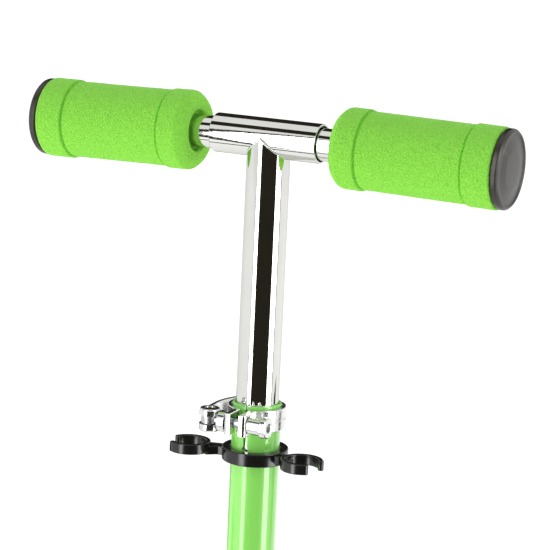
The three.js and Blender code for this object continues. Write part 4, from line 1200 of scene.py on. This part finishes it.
# Upright cards: name, start and end angle, radius, bottom, top and material.
STANDING_CARDS = (
    ("front_dark", -37.4, 46, 1000, 0, 800, DARK_CARD),
    ("behind_dark", 168, 192, 1300, 0, 1700, DARK_CARD),
    ("left_line", -57.8, -54.9, 1050, 40, 2000, DARK_CARD),
    ("right_line", 73.3, 78, 1050, 40, 1500, DARK_CARD),
    ("low_0", 95, 110, 1300, 0, 200, DARK_CARD),
    ("low_1", 205, 225, 1300, 0, 200, DARK_CARD),
    ("low_2", 255, 268, 1300, 0, 200, DARK_CARD),
    ("left_light", -54.6, -37.4, 1050, 40, 2000, LIGHT_CARD),
    ("right_light", 46, 73, 1050, 40, 1500, LIGHT_CARD),
)
# Flat dark cards: name and two opposite corners.
FLAT_CARDS = (
    ("over_dark", (-2000, -1010, 1970), (1000, -430, 1970)),
    ("back_dark", (-1700, 1000, 820), (100, 1000, 2600)),
    ("floor_line", (-1500, -860, 3), (1000, -750, 3)),
)


def reflected_only(obj, material):
    """A studio card that shows only as a reflection in glossy surfaces."""
    clad(obj, material)
    for ray in ("camera", "diffuse", "transmission", "volume_scatter", "shadow"):
        setattr(obj, "visible_" + ray, False)


def standing_card(name, start, end, radius, low, high, material):
    """A curved upright card. Its angles are counted from the camera's side, in degrees."""
    verts, faces, steps = [], [], 24
    for k in range(steps + 1):
        angle = radians(CAMERA_SIDE + start + (end - start) * k / steps)
        x, y = radius * sin(angle), BAR_CENTRE.y * 1000 - radius * cos(angle)
        verts += [(x, y, low), (x, y, high)]
    for k in range(steps):
        faces.append((2 * k, 2 * k + 2, 2 * k + 3, 2 * k + 1))
    reflected_only(solid(name, verts, faces, MM), material)


def flat(name, low, high):
    """A rectangle between two opposite corners, with two sides along x."""
    corners = [low, (high[0], *low[1:]), high, (low[0], *high[1:])]
    return solid(name, corners, [(0, 1, 2, 3)], MM)


def stage():
    floor = flat("floor", (-FLOOR_HALF, -FLOOR_HALF, -0.3), (FLOOR_HALF, FLOOR_HALF, -0.3))
    g = Graph("floor_paper")
    g.set(Base_Color=g.mix(g.noise(3, 3), (0.90, 0.90, 0.90), (0.93, 0.93, 0.93)), Roughness=0.85)
    g.set(Specular_IOR_Level=0.1, Emission_Color=(1, 1, 1, 1), Emission_Strength=FLOOR_GLOW)
    floor.data.materials.append(g.material)
    world = bpy.data.worlds.new("studio")
    world.use_nodes = True
    world.node_tree.nodes["Background"].inputs["Color"].default_value = (1, 1, 1, 1)
    world.node_tree.nodes["Background"].inputs["Strength"].default_value = WORLD_LIGHT
    SCENE.world = world
    SCENE.view_settings.view_transform = "Standard"
    SCENE.view_settings.look = "None"
    inner, outer = ([polar((0, 0), r, a) for a in (0.3, 0.6, 0.9, 1.2, 1.45)] for r in (SKY_R, SKY_R + SKY_WALL))
    dome = [(SKY_R, -100), *inner, (0, SKY_R), (0, SKY_R + SKY_WALL), *reversed(outer), (SKY_R + SKY_WALL, -100)]
    reflected_only(lathe("card_sky", dome, MM, 48), SKY_CARD)
    for name, *shape, material in STANDING_CARDS:
        standing_card("card_" + name, *shape, material)
    for name, low, high in FLAT_CARDS:
        reflected_only(flat("card_" + name, low, high), DARK_CARD)


stage()


def soft_light(name, place, aim, size, power):
    data = bpy.data.lights.new(name, "AREA")
    data.shape = "DISK"
    data.size = size
    data.energy = power
    light = placed(name, data)
    light.location = place
    light.rotation_euler = (Vector(aim) - Vector(place)).to_track_quat("-Z", "Y").to_euler()
    light.visible_glossy = False


soft_light("low_fill", (-1.6, -1.2, 0.2), (-0.1, -0.17, 0.75), 1.2, 16)
soft_light("rear_fill", (0.6, 2.2, 1.6), (0, 0, 0.3), 1.6, 10)
